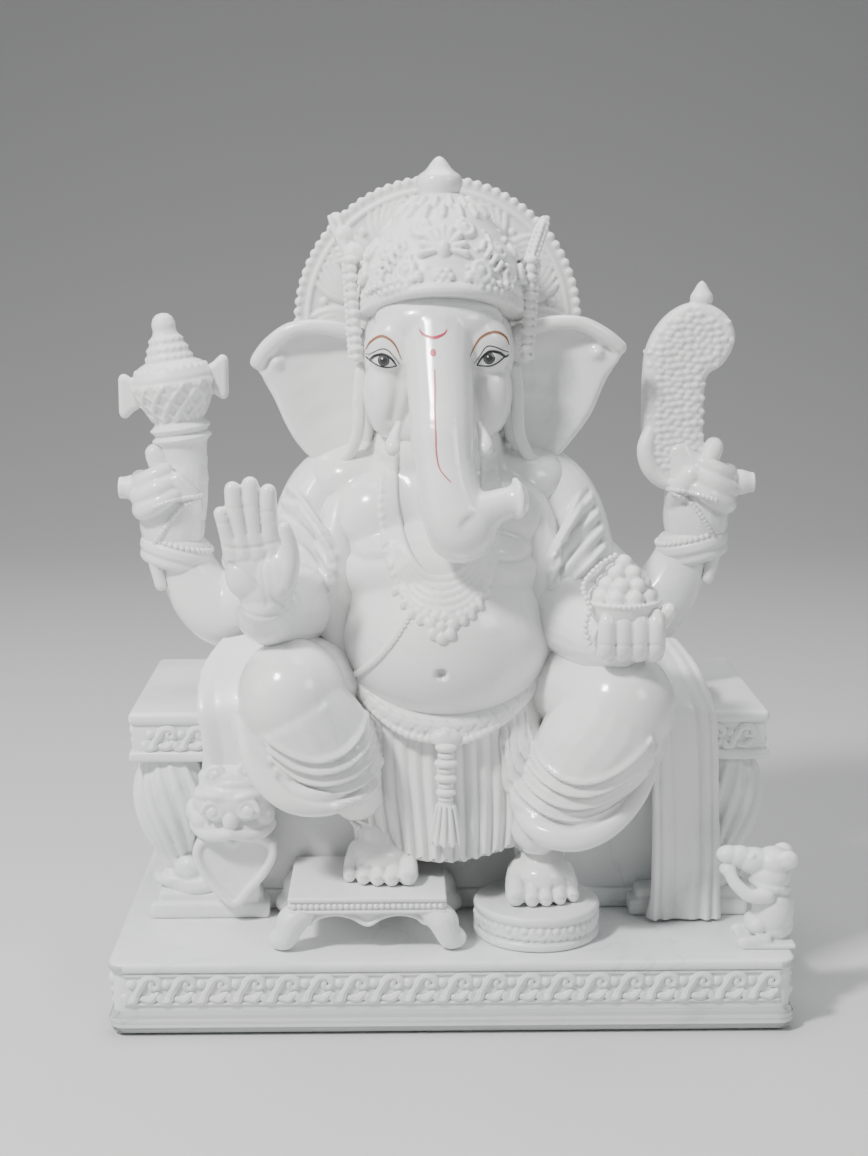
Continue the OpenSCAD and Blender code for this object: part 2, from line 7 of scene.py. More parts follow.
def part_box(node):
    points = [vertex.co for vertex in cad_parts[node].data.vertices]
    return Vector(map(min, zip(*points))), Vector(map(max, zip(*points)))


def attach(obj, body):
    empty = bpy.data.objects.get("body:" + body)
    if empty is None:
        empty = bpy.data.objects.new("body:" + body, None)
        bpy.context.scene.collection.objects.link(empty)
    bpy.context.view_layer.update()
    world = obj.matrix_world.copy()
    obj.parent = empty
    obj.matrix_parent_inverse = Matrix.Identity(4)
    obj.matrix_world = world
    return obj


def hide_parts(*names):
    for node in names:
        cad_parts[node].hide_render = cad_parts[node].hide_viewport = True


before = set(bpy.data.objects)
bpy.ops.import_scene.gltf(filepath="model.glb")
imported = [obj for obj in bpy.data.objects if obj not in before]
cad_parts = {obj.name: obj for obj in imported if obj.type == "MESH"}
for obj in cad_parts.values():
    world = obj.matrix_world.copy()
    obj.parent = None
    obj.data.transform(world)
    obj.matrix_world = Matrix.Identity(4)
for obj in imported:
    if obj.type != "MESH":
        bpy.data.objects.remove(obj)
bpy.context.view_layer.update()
mm = 0.001

# the figure's pieces are drawn in mm from its own axis and the seat's top face
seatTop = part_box("seat_slab")[1].z
axisX = (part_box("torso")[0].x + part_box("torso")[1].x) / 2
figure = Vector((axisX, 0, seatTop))
ground = Vector((0, 0, 0))
home = figure                                           # what the next pieces are measured from
sides = {"left": -1, "right": 1}                        # as the viewer sees them


# small tools for modelling
def deselectAll():
    bpy.ops.object.select_all(action="DESELECT")


def select(objects):
    deselectAll()
    for o in objects:
        o.select_set(True)
    bpy.context.view_layer.objects.active = objects[0]


# adds a modifier to the active piece, sets its values and applies it
def modify(kind, **values):
    o = bpy.context.object
    bpy.ops.object.modifier_add(type=kind)
    modifier = o.modifiers[-1]
    for key, value in values.items():
        setattr(modifier, key, value)
    bpy.ops.object.modifier_apply(modifier=modifier.name)


# works on the whole active piece in edit mode, one step after another
def editAll(*steps):
    bpy.ops.object.mode_set(mode="EDIT")
    bpy.ops.mesh.select_all(action="SELECT")
    for step, values in steps:
        step(**values)
    bpy.ops.object.mode_set(mode="OBJECT")


def meshPiece(name, verts, edges, faces):
    mesh = bpy.data.meshes.new(name)
    mesh.from_pydata(verts, edges, faces)
    o = bpy.data.objects.new(name, mesh)
    bpy.context.collection.objects.link(o)
    select([o])
    return o


outwards = (bpy.ops.mesh.normals_make_consistent, {"inside": False})


def place(p):
    return home + Vector((p[0], p[1], p[2])) * mm


def addBall(at, radii, turn=(0, 0, 0), rings=14):
    if not hasattr(radii, "__len__"):
        radii = (radii, radii, radii)
    bpy.ops.mesh.primitive_uv_sphere_add(segments=2 * rings, ring_count=rings, radius=mm,
                                         location=place(at), rotation=[radians(a) for a in turn])
    o = bpy.context.object
    o.scale = radii
    return o


def addBox(low, high, bevel=1.0, segments=3, corner=0):
    low, high = Vector(low), Vector(high)
    bpy.ops.mesh.primitive_cube_add(size=1, location=place((low + high) / 2))
    o = bpy.context.object
    o.scale = (high - low) * mm
    bpy.ops.object.transform_apply(location=False, rotation=False, scale=True)
    if corner:                                           # the upright edges are rounded more than the others
        for edge in o.data.edges:
            a, b = (o.data.vertices[v].co for v in edge.vertices)
            edge.select = abs(a.x - b.x) < 1e-6 and abs(a.y - b.y) < 1e-6
        for face in o.data.polygons:
            face.select = False
        bpy.ops.object.mode_set(mode="EDIT")
        bpy.ops.mesh.select_mode(type="EDGE")
        bpy.ops.mesh.bevel(offset=corner * mm, segments=6, affect="EDGES")
        bpy.ops.object.mode_set(mode="OBJECT")
    if bevel:
        editAll((bpy.ops.mesh.bevel, {"offset": bevel * mm, "segments": segments, "affect": "EDGES"}))
    return o


# a smooth line through points of any number of values, such as x, y, z and radius
def smoothPath(points, steps=6, closed=False):
    n = len(points)
    out = []
    for i in range(n if closed else n - 1):
        a, b, c, d = [Vector(points[(i + k) % n] if closed else points[min(max(i + k, 0), n - 1)])
                      for k in (-1, 0, 1, 2)]
        for s in range(steps):
            t = s / steps
            out.append(0.5 * (2 * b + (c - a) * t + (2 * a - 5 * b + 4 * c - d) * t * t
                              + (3 * b - a - 3 * c + d) * t ** 3))
    if not closed:
        out.append(Vector(points[-1]))
    return out


# a round bar with a radius at each point and rounded ends
def addRod(path, steps=6, sides=12, closed=False, roundEnds=True):
    pts = smoothPath(path, steps, closed)
    if roundEnds and not closed:
        first, last = pts[0], pts[-1]
        headWay = (first.xyz - pts[1].xyz).normalized()
        tailWay = (last.xyz - pts[-2].xyz).normalized()
        caps = [(sin(radians(a)), cos(radians(a))) for a in (8, 30, 55)]
        pts = ([Vector((*(first.xyz + headWay * first.w * c), max(first.w * s, 0.02))) for s, c in caps] + pts
               + [Vector((*(last.xyz + tailWay * last.w * c), max(last.w * s, 0.02))) for s, c in reversed(caps)])
    bpy.ops.curve.primitive_nurbs_path_add(location=(0, 0, 0))
    o = bpy.context.object
    o.data.splines.clear()
    spline = o.data.splines.new("POLY")
    spline.points.add(len(pts) - 1)
    for sp, p in zip(spline.points, pts):
        sp.co = (*place(p), 1)
        sp.radius = p[3]
    spline.use_cyclic_u = closed
    o.data.bevel_depth = mm
    o.data.bevel_resolution = (sides - 4) // 2
    o.data.use_fill_caps = not closed
    bpy.ops.object.convert(target="MESH")
    return bpy.context.object


# an upright plate that faces the front, from its outline in x and z
def addPlate(outline, y, thick, bevel=1.0, steps=5, sharp=False):
    pts = [Vector(p) for p in outline] if sharp else smoothPath(outline, steps, closed=True)
    bpy.ops.curve.primitive_nurbs_path_add(location=(0, 0, 0))
    o = bpy.context.object
    c = o.data
    c.splines.clear()
    c.dimensions = "2D"
    c.fill_mode = "BOTH"
    spline = c.splines.new("POLY")
    spline.points.add(len(pts) - 1)
    for sp, p in zip(spline.points, pts):
        sp.co = (p[0] * mm, p[1] * mm, 0, 1)
    spline.use_cyclic_u = True
    c.extrude = max(thick / 2 - bevel, 0.05) * mm
    c.bevel_depth = bevel * mm
    c.bevel_resolution = 2
    c.offset = -bevel * mm
    bpy.ops.object.convert(target="MESH")
    o = bpy.context.object
    o.rotation_euler = (pi / 2, 0, 0)
    o.location = place((0, y, 0))
    bpy.ops.object.transform_apply(location=True, rotation=True, scale=True)
    return o


# a turned form: radius and height pairs spun about an upright line
def addTurned(at, profile, steps=48, tilt=(0, 0, 0)):
    o = meshPiece("turned", [(r * mm, 0, z * mm) for r, z in profile], [(i, i + 1) for i in range(len(profile) - 1)],
                  [])
    modify("SCREW", steps=steps, render_steps=steps, use_merge_vertices=True, merge_threshold=1e-6)
    editAll((bpy.ops.mesh.remove_doubles, {"threshold": 1e-6}), outwards)
    o.rotation_euler = [radians(a) for a in tilt]
    o.location = place(at)
    return o


def circle(centre, radius, count, squash=1.0):
    return [(centre[0] + radius * cos(2 * pi * k / count), centre[1] + radius * squash * sin(2 * pi * k / count))
            for k in range(count)]


def radiusAt(profile, z):
    return np.interp(z, [p[1] for p in profile], [p[0] for p in profile])


def joined(name, parts):
    select(parts)
    if len(parts) > 1:
        bpy.ops.object.join()
    o = bpy.context.object
    bpy.ops.object.transform_apply(location=True, rotation=True, scale=True)
    o.name = name
    o.data.name = name
    return o


# joins rough forms into one skin of even faces, and smooths where they meet
def carved(name, parts, voxel=1.5, passes=8):
    o = joined(name, parts)
    modify("REMESH", mode="VOXEL", voxel_size=voxel * mm)
    modify("SMOOTH", factor=0.5, iterations=passes)
    return o


def softened(o, passes=2):
    select([o])
    modify("SMOOTH", factor=0.5, iterations=passes)


def vertexArrays(o):
    n = len(o.data.vertices)
    co, no = np.zeros(n * 3), np.zeros(n * 3)
    o.data.vertices.foreach_get("co", co)
    o.data.vertex_normals.foreach_get("vector", no)
    return co.reshape(-1, 3), no.reshape(-1, 3)


# a chisel stroke: the surface near a line sinks (depth below 0) or rises (above 0)
def stroke(o, path, width, depth, steps=5):
    co, no = vertexArrays(o)
    line = [np.array(place(p)) for p in (smoothPath(path, steps) if len(path) > 1 else [path[0], path[0]])]
    near = np.full(len(co), 1e9)
    for a, b in zip(line[:-1], line[1:]):
        ab = b - a
        t = np.clip((co - a) @ ab / max(ab @ ab, 1e-12), 0, 1)
        near = np.minimum(near, np.linalg.norm(co - a - t[:, None] * ab, axis=1))
    share = np.exp(-(near / (width * mm)) ** 2)
    co = co + no * (depth * mm * share)[:, None]
    o.data.vertices.foreach_set("co", co.ravel())
    o.data.update()


# the point of a piece's surface that shows from the front at x, z
def frontPoint(o, x, z, lift=0.0):
    hit, spot, normal, _ = o.ray_cast(place((x, -260, z)), Vector((0, 1, 0)))
    if not hit:
        return None
    local = (spot - home) / mm
    return (local.x + normal.x * lift, local.y + normal.y * lift, local.z + normal.z * lift)


def frontPath(o, points, steps=5, lift=0.0):
    found = [frontPoint(o, p[0], p[1], lift) for p in smoothPath(points, steps)]
    return [p for p in found if p is not None]


def frontStroke(o, points, width, depth):
    path = frontPath(o, points)
    if len(path) > 1:
        stroke(o, path, width, depth, steps=1)


def duplicateOf(o):
    twin = o.copy()
    twin.data = o.data.copy()
    bpy.context.collection.objects.link(twin)
    return twin


# equal steps along a line
def evenPoints(path, gap, closed=False):
    pts = smoothPath(path, 8, closed)
    if closed:
        pts = pts + [pts[0]]
    lengths = [0.0]
    for a, b in zip(pts[:-1], pts[1:]):
        lengths.append(lengths[-1] + (b.xyz - a.xyz).length)
    count = max(2, round(lengths[-1] / gap))
    out, j = [], 0
    for i in range(count if closed else count + 1):
        want = lengths[-1] * i / count
        while j < len(pts) - 2 and lengths[j + 1] < want:
            j += 1
        t = (want - lengths[j]) / max(lengths[j + 1] - lengths[j], 1e-9)
        out.append(pts[j].lerp(pts[j + 1], min(t, 1)))
    return out


# a string of beads, one model copied at equal steps
def addBeads(path, radius, gap, closed=False):
    deselectAll()
    bpy.ops.mesh.primitive_ico_sphere_add(subdivisions=2, radius=radius * mm)
    first = bpy.context.object
    beads = []
    for p in evenPoints(path, gap, closed):
        bead = duplicateOf(first)
        bead.location = place(p)
        if len(p) > 3:
            bead.scale = [p[3]] * 3
        beads.append(bead)
    bpy.data.objects.remove(first)
    return beads


def finishPiece(o, material, nodes=(), angle=40):
    select([o])
    bpy.ops.object.transform_apply(location=True, rotation=True, scale=True)
    bpy.ops.object.shade_smooth_by_angle(angle=radians(angle))
    o.data.materials.clear()
    o.data.materials.append(material)
    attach(o, "root")
    if nodes:
        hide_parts(*nodes)
    return o


# materials
def setInputs(tree, node, inputs):                      # each input takes a value, or a link from another node
    for key, value in inputs.items():
        if isinstance(value, bpy.types.NodeSocket):
            tree.links.new(value, node.inputs[key])
        else:
            node.inputs[key].default_value = value


def addNode(tree, kind, inputs={}, **settings):
    node = tree.nodes.new(kind)
    for key, value in settings.items():
        setattr(node, key, value)
    setInputs(tree, node, inputs)
    return node.outputs


# clouding, veins, grain, and painted shade that greys the carved hollows
def stoneGroup():
    group = bpy.data.node_groups.new("whiteStone", "ShaderNodeTree")
    for name, kind, value in (("Vector", "Vector", None), ("Light Tone", "Color", (0.87, 0.87, 0.86, 1)),
                              ("Cool Tone", "Color", (0.75, 0.79, 0.79, 1)), ("Clouding", "Float", 0.5),
                              ("Veins", "Float", 0.3), ("Hollow Painted Shade", "Float", 0.6), ("Roughness", "Float", 0.2),
                              ("Roughness Spread", "Float", 0.1), ("Grain Size", "Float", 700.0)):
        socket = group.interface.new_socket(name, in_out="INPUT", socket_type="NodeSocket" + kind)
        if value is not None:
            socket.default_value = value
    for name, kind in (("Color", "Color"), ("Roughness", "Float"), ("Height", "Float")):
        group.interface.new_socket(name, in_out="OUTPUT", socket_type="NodeSocket" + kind)
    given = addNode(group, "NodeGroupInput")

    def noise(**values):
        return addNode(group, "ShaderNodeTexNoise", {"Vector": given["Vector"], **values})["Fac"]

    def sums(operation, *values):
        return addNode(group, "ShaderNodeMath", dict(enumerate(values)), operation=operation)[0]

    def mapped(value, low, high, start=0.0, end=1.0):
        return addNode(group, "ShaderNodeMapRange", {"Value": value, "From Min": low, "From Max": high,
                                                     "To Min": start, "To Max": end})["Result"]

    def mixed(share, first, second):
        return addNode(group, "ShaderNodeMix", {"Factor": share, "A": first, "B": second}, data_type="RGBA")["Result"]

    clouds = mapped(noise(Scale=9, Detail=5, Distortion=1.1), 0.38, 0.68)       # broad soft patches
    tone = mixed(sums("MULTIPLY", clouds, given["Clouding"]), given["Light Tone"], given["Cool Tone"])
    # veins are thin lines where the noise crosses its middle, and fade in and out with the clouds
    away = sums("ABSOLUTE", sums("SUBTRACT", noise(Scale=6, Detail=7, Roughness=0.55, Distortion=2.2), 0.5))
    vein = sums("MULTIPLY", sums("MULTIPLY", mapped(away, 0.0, 0.022, 1.0, 0.0), clouds), given["Veins"])
    veined = mixed(vein, tone, (0.50, 0.53, 0.54, 1))
    # hollows are greyed as painted shade, and the polish doesn't reach them
    hollow = mapped(addNode(group, "ShaderNodeNewGeometry")["Pointiness"], 0.497, 0.43)
    paintedHollowShade = mixed(sums("MULTIPLY", hollow, given["Hollow Painted Shade"]), veined, (0.40, 0.43, 0.42, 1))
    gloss = sums("MULTIPLY_ADD", noise(Scale=45, Detail=4), given["Roughness Spread"], given["Roughness"])
    addNode(group, "NodeGroupOutput", {"Color": paintedHollowShade, "Roughness": sums("MULTIPLY_ADD", hollow, 0.18, gloss),
                                       "Height": noise(Scale=given["Grain Size"], Detail=3)})
    return group


stone = stoneGroup()


def newMaterial(name):
    material = bpy.data.materials.new(name)
    material.use_nodes = True
    return material, material.node_tree, material.node_tree.nodes["Principled BSDF"]


def stoneMaterial(name, values, grainDepth, coat=0.0):
    material, tree, shader = newMaterial(name)
    where = addNode(tree, "ShaderNodeTexCoord")["Object"]
    look = addNode(tree, "ShaderNodeGroup", {"Vector": where, **values}, node_tree=stone)
    bump = addNode(tree, "ShaderNodeBump", {"Strength": 0.25, "Distance": grainDepth * mm, "Height": look["Height"]})
    setInputs(tree, shader, {"Base Color": look["Color"], "Roughness": look["Roughness"], "Normal": bump["Normal"],
                             "IOR": 1.5, "Subsurface Weight": 0.12, "Subsurface Radius": (1.0, 0.95, 0.9),
                             "Subsurface Scale": 3 * mm, "Coat Weight": coat, "Coat Roughness": 0.06})
    return material


# the hollow value of each finish sets how strongly its carved hollows are greyed as painted shade
polished = stoneMaterial("marblePolished", {"Roughness": 0.16, "Roughness Spread": 0.10, "Clouding": 0.45,
                                            "Veins": 0.22, "Hollow Painted Shade": 0.45}, 0.02, coat=0.35)
relief = stoneMaterial("marbleRelief", {"Roughness": 0.34, "Roughness Spread": 0.16, "Clouding": 0.35, "Veins": 0.12,
                                        "Hollow Painted Shade": 0.75, "Light Tone": (0.86, 0.86, 0.85, 1),
                                        "Grain Size": 520.0}, 0.05)
cloth = stoneMaterial("marbleCloth", {"Roughness": 0.27, "Roughness Spread": 0.14, "Clouding": 0.5, "Veins": 0.18,
                                      "Hollow Painted Shade": 0.6}, 0.03, coat=0.12)
base = stoneMaterial("marbleBase", {"Roughness": 0.30, "Roughness Spread": 0.18, "Clouding": 0.6, "Veins": 0.35,
                                    "Hollow Painted Shade": 0.55, "Light Tone": (0.86, 0.86, 0.86, 1)}, 0.04, coat=0.08)


# brush paint: a little thinner at the edges of the stroke, over the stone
def paintMaterial(name, colour, roughness):
    material, tree, shader = newMaterial(name)
    where = addNode(tree, "ShaderNodeTexCoord")["Object"]
    brush = addNode(tree, "ShaderNodeTexNoise", {"Scale": 900, "Detail": 3, "Vector": where})["Fac"]
    thinner = [min(1, c * 1.35 + 0.03) for c in colour]
    tone = addNode(tree, "ShaderNodeMix", {"Factor": brush, "A": (*colour, 1), "B": (*thinner, 1)}, data_type="RGBA")
    bump = addNode(tree, "ShaderNodeBump", {"Strength": 0.2, "Distance": 0.02 * mm, "Height": brush})
    setInputs(tree, shader, {"Base Color": tone["Result"], "Normal": bump["Normal"], "Roughness": roughness})
    return material


paint = {"black": paintMaterial("paintBlack", (0.012, 0.012, 0.014), 0.3),
         "brown": paintMaterial("paintBrown", (0.22, 0.085, 0.035), 0.4),
         "red": paintMaterial("paintRed", (0.42, 0.02, 0.06), 0.4),
         "iris": paintMaterial("paintIris", (0.075, 0.08, 0.08), 0.25),
         "eyeWhite": paintMaterial("paintEyeWhite", (0.80, 0.81, 0.80), 0.2)}

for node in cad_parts.values():                    # a first finish for every CAD node
    node.data.materials.clear()
    node.data.materials.append(base)
print("materials ready")


# the body
body = {
    "belly": ((5, -30, 54), (80, 80, 67)),
    "chest": [((0, 2, 136), (86, 58, 62)), ((0, 24, 96), (84, 56, 96)), ((0, 12, 62), (90, 60, 70)),
              ((0, 14, 24), (98, 58, 38)), ((2, -24, 104), (80, 62, 44)), ((-41, -27, 140), (37, 32, 33)),
              ((43, -27, 140), (37, 32, 33)), ((0, -22, 150), (34, 34, 44)), ((-62, 0, 164), (36, 36, 26)),
              ((62, 0, 164), (36, 36, 26)), ((0, -8, 188), (48, 44, 34))],
    "navel": (0.3, 41),
    "breastLines": [[(-76, 138), (-72, 124), (-62, 117), (-46, 116), (-30, 119)],
                    [(80, 136), (75, 122), (64, 115), (48, 114), (32, 118)]],
}
parts = [addBall(*body["belly"], rings=24)] + [addBall(at, r, rings=20) for at, r in body["chest"]]
skin = carved("bodySkin", parts, voxel=1.7, passes=22)
for line in body["breastLines"]:
    frontStroke(skin, line, width=3.4, depth=-2.6)
    frontStroke(skin, [(x * 0.9, z + 9) for x, z in line[1:]], width=8, depth=1.2)
nx, nz = body["navel"]
ringAt = [(nx + 5.5 * cos(a), nz + 4.6 * sin(a)) for a in (0.2, 1.3, 2.4, 3.4, 4.4, 5.4, 6.4)]
frontStroke(skin, ringAt, width=2.2, depth=1.1)
stroke(skin, [frontPoint(skin, nx, nz)], width=4.2, depth=-5.5)
softened(skin, 2)
finishPiece(skin, polished, ("belly", "torso"))

# thigh, knee and bundled cloth; the knees stand out smooth and round above the folds
legs = {
    "left": {"path": [(-62, -2, 20, 31), (-101, -84, 23, 34), (-82, -85, -13, 37), (-68, -83, -36, 29),
                      (-60, -78, -52, 20)],
             "knee": ((-104, -83, 23), (38.5, 43, 38.5)), 
             "folds": [[(-118, -2), (-100, -12), (-82, -15), (-64, -9), (-51, 6), (-46, 24)],
                       [(-118, -10), (-100, -21), (-80, -24), (-60, -18), (-46, -2), (-40, 22)],
                       [(-116, -18), (-98, -30), (-78, -33), (-57, -27), (-41, -10), (-34, 16)],
                       [(-112, -26), (-96, -38), (-76, -42), (-55, -36), (-37, -20), (-29, 6)],
                       [(-72, -50), (-52, -44), (-34, -30), (-25, -8)]],
             "hem": [(-138, -86, 12, 4), (-135, -98, -12, 7), (-123, -106, -32, 9.5), (-104, -110, -46, 10.5),
                     (-82, -109, -50, 9.5), (-62, -103, -47, 7.5), (-46, -92, -40, 5)]},
    "right": {"path": [(68, -2, 20, 32), (122, -84, 13, 38), (107, -86, -18, 40), (90, -82, -48, 32),
                       (71, -74, -80, 20)],
              "knee": ((126, -83, 13), (41, 44, 41)), 
              "folds": [[(60, 10), (64, -12), (80, -28), (102, -31), (124, -21), (144, -2)],
                        [(54, 8), (58, -21), (77, -37), (101, -41), (125, -31), (147, -10)],
                        [(48, 2), (53, -30), (73, -47), (99, -51), (124, -41), (146, -20)],
                        [(45, -14), (51, -42), (71, -57), (97, -62), (122, -52), (143, -31)]],
              "hem": [(56, -84, -62, 5), (62, -95, -69, 7.5), (76, -105, -75, 9.5), (96, -109, -76, 10),
                      (117, -106, -68, 9.5), (137, -98, -50, 8), (150, -87, -28, 6), (156, -79, -8, 4)]},
}
for name, leg in legs.items():
    side = sides[name]
    parts = [addRod(leg["path"], steps=5, sides=20), addBall(*leg["knee"], rings=20),
             addRod(leg["hem"], steps=5, sides=12)]
    # the cloth under the shin fills down to the hem
    parts.append(addRod([(side * 52, -48, 14, 17), (side * 56, -60, -14, 18), (side * 56, -66, -44, 15)], 5, 16))
    parts.append(addRod([(p[0] * 0.97 + leg["path"][2][0] * 0.03, p[1] + 14, p[2] + 12, 15)
                         for p in leg["hem"][1:-1]], 5))
    limb = carved(name + "Leg", parts, voxel=1.5, passes=7)
    for k, fold in enumerate(leg["folds"]):              # thin ridges with a groove under each
        frontStroke(limb, fold, width=2.7, depth=3.0)
        frontStroke(limb, [(x, z - 4.6) for x, z in fold], width=2.0, depth=-2.0)
        after = leg["folds"][min(k + 1, len(leg["folds"]) - 1)]
        if len(after) == len(fold) and after != fold:
            frontStroke(limb, [((x + u) / 2, (z + w) / 2) for (x, z), (u, w) in zip(fold, after)], width=1.8,
                        depth=1.5)
    softened(limb, 1)
    finishPiece(limb, polished, ("leg_" + name,))
print("body and legs")

# cloth between the legs, belt and tassel
skirt = {"left": -60, "right": 64, "top": 10, "bottom": -92, "pleats": 12, "depth": 4.0, "wall": 9}


def pleatedSkirt():
    columns, rows = 150, 44
    verts, faces = [], []
    for j in range(rows + 1):
        v = j / rows
        for i in range(columns + 1):
            u = i / columns
            x = (skirt["left"] + (skirt["right"] - skirt["left"]) * u) * (1 - 0.2 * v * v) + 3 * v
            x = x * (0.93 + 0.14 * v)                                # the pleats spread towards the hem
            hem = skirt["bottom"] - 8 * sin(pi * u) + 2.0 * cos(2 * pi * skirt["pleats"] * u)
            z = skirt["top"] + (hem - skirt["top"]) * v
            ripple = (0.5 + 0.5 * cos(2 * pi * skirt["pleats"] * u + 0.5 * sin(5 * v))) ** 0.7
            y = -62 - 17 * sin(pi * u) - 6 * v - skirt["depth"] * ripple * (0.35 + 0.65 * v)
            verts.append(place((x, y, z)))
    for j in range(rows):
        for i in range(columns):
            a = j * (columns + 1) + i
            faces.append((a, a + columns + 1, a + columns + 2, a + 1))
    o = meshPiece("pleats", verts, [], faces)
    modify("SOLIDIFY", thickness=skirt["wall"] * mm, offset=-1)
    editAll(outwards)
    return o


pleats = pleatedSkirt()
waist = addBox((-56, -62, -20), (60, -34, 10), bevel=6)  # fills the top under the belt
finishPiece(joined("dhotiPleats", [pleats, waist]), cloth, ("dhoti_skirt",), angle=60)

belt = {"band": [(-72, -44, 50, 5), (-62, -54, 34, 6.5), (-49, -66, 17, 8), (-28, -78, 4, 9), (2, -83, -1, 9.5),
                 (32, -79, 3, 9), (56, -68, 15, 8), (70, -55, 34, 7), (79, -46, 56, 5.5),
                 (82, -48, 80, 4.5)],
        "trim": [(-62, -60, 25), (-47, -75, 8), (-25, -87, -6), (0, -91, -11), (4, -92, -13), (28, -88, -7),
                 (52, -76, 6), (68, -62, 24)]}
parts = [addRod(belt["band"], 8, 14)]
parts += addBeads(belt["trim"], 3.1, 4.9)
parts += addBeads([(x, y + 1.2, z + 4.4) for x, y, z in belt["trim"]], 1.8, 3.6)
beltPiece = carved("beltRope", parts, voxel=1.05, passes=1)
for k, p in enumerate(evenPoints(belt["band"], 5.2)):     # shallow tool marks across the band
    way = 1 if k % 2 else -1
    stroke(beltPiece, [(p.x - 2.5, p.y - 8, p.z + 5 * way), (p.x + 2.5, p.y - 9, p.z - 1)], width=1.3, depth=-0.8)
finishPiece(beltPiece, relief, ("belt",))

tassel = {"at": (4, -92), "strand": [(6.2, -57, 1.2), (8.8, -70, 1.6), (10.6, -83, 1.7)],
          "rings": [(-14, 8.0), (-20, 6.2), (-25.5, 8.6), (-31, 6.0), (-36.5, 8.2), (-42, 5.6), (-47, 7.4),
                    (-52, 5.4)],
          "bell": [(0, -53), (5.0, -54), (6.5, -58), (8, -66), (9.5, -75), (11, -82), (9, -84.5), (0, -85)]}
tx, ty = tassel["at"]
parts = [addBall((tx, ty - 3 + 0.2 * k, z), (r, r * 0.8, 3.6 if r > 7 else 3.0), rings=9)
         for k, (z, r) in enumerate(tassel["rings"])]
parts += [addRod([(tx, ty, -6, 6), (tx, ty + 1, -55, 4)], 2), addBall((tx, ty, -8), (11, 6, 7), rings=10)]
parts.append(addTurned((tx, ty, 0), tassel["bell"], 28))
for k in range(11):                                      # strands of the tassel's bell
    a = 2 * pi * k / 11
    parts.append(addRod([(tx + r * cos(a), ty - 1 + r * sin(a), z, thick) for r, z, thick in tassel["strand"]], 3, 6))
finishPiece(joined("beltTassel", parts), relief, ("belt_tassel",))
print("belt and tassel")


# head, trunk, tusks and ears
headForm = {
    "skull": [((0, -8, 256), (57, 56, 54)), ((-33.5, -32, 229), (20, 27, 33)), ((32.5, -32, 229), (20, 27, 33)),
              ((-24, -46, 262), (27, 17, 26)), ((24, -46, 262), (27, 17, 26)), ((0, -20, 210), (44, 38, 26)),
              ((0, -36, 278), (46, 32, 26))],
    "trunk": [(0, -46, 268, 28), (0, -62, 246, 24), (1, -76, 222, 22.5), (1.5, -87, 202, 22), (3.5, -95, 184, 20.5),
              (6, -101, 167, 21.5), (11, -105, 151, 23.5), (17, -107, 144, 22), (28, -109, 153, 16.5),
              (37, -110, 158, 12), (44, -110, 160.5, 11)],
    "bend": ((14, -102, 142), (24, 19, 24)),
    "tip": [(42, -110, 160, 11), (48, -110, 161.5, 10.8), (52, -110, 163, 11.4)],
    "lip": [(50, -110, 176, 2.8), (52.5, -118, 172.5, 2.6), (54.5, -121.5, 163, 2.6), (54, -118, 154.5, 2.6),
            (52, -110, 151, 2.6)],
    "rings": [[(-29, 232), (-2, 226), (26, 233)], [(-31, 219), (-2, 213), (27, 220)],
              [(-32, 206), (-2, 199), (27, 206)], [(-30, 192), (-2, 185), (24, 191)]],
}
parts = [addBall(at, r, rings=20) for at, r in headForm["skull"]]
parts += [addRod(headForm["trunk"], 6, 22), addBall(*headForm["bend"], rings=16),
          addRod(headForm["tip"], 4, 14), addRod(headForm["lip"], 5, 10)]
head = carved("headAndTrunk", parts, voxel=1.3, passes=10)

eyes = {
    "left": {"iris": (-38.6, 253.6), "corners": [(-48.2, 253.2), (-29.6, 249.8)], "top": (-38.8, 257.6),
             "low": (-38.0, 248.9),
             "brow": [(-51.5, 259.6), (-47.5, 266.2), (-39.7, 270.2), (-31.5, 265.4), (-26.2, 254.2)], "out": -1},
    "right": {"iris": (34.4, 255.0), "corners": [(45.4, 255.6), (26.0, 250.2)], "top": (35.0, 259.6),
              "low": (35.4, 249.8),
              "brow": [(49.0, 263.6), (45.5, 270.0), (37.8, 273.0), (28.0, 268.8), (20.8, 256.8)], "out": 1},
}
for eye in eyes.values():
    outer, inner = eye["corners"]
    frontStroke(head, [outer, eye["top"], inner], width=5.0, depth=-1.6)       # the socket
    # the eyeball
    frontStroke(head, [(eye["iris"][0] - 3, eye["iris"][1]), (eye["iris"][0] + 3, eye["iris"][1])], width=4.6,
                depth=2.0)
    frontStroke(head, [(outer[0], outer[1] + 1), (eye["top"][0], eye["top"][1] + 2.6), (inner[0], inner[1] + 2.5)],
                width=1.7, depth=0.9)
    frontStroke(head, [(outer[0], outer[1] - 1), (eye["low"][0], eye["low"][1] - 2.2), (inner[0], inner[1] - 0.8)],
                width=1.6, depth=0.6)
# the hollow on each side of the trunk's root
frontStroke(head, [(-29, 246), (-29, 230), (-33, 212)], width=4.5, depth=-2.6)
frontStroke(head, [(25, 246), (25, 230), (29, 212)], width=4.5, depth=-2.6)
for side in (-1, 1):
    frontStroke(head, [(side * 46 - 1, 240), (side * 47 - 1, 222), (side * 42 - 1, 206)], width=6, depth=1.2)
for ring in headForm["rings"]:
    frontStroke(head, ring, width=1.6, depth=-0.12)
stroke(head, [(62, -111, 164)], width=6.0, depth=-7.0)                          # the nostril
softened(head, 2)
finishPiece(head, polished, ("head", "trunk"))

tuskPath = [(27, -74, 211, 2.4), (29.5, -80, 204, 3.8), (31, -84, 198, 5.2), (31, -86, 195, 5.4)]
parts = []
for side, shift in ((-1, -1.5), (1, 0)):
    tusk = addRod([(side * x + shift, y, z, r) for x, y, z, r in tuskPath], 5, 14)
    parts.append(carved("tusk", [tusk], voxel=0.8, passes=2))
finishPiece(joined("tusks", parts), polished, ("tusk_left", "tusk_right"))

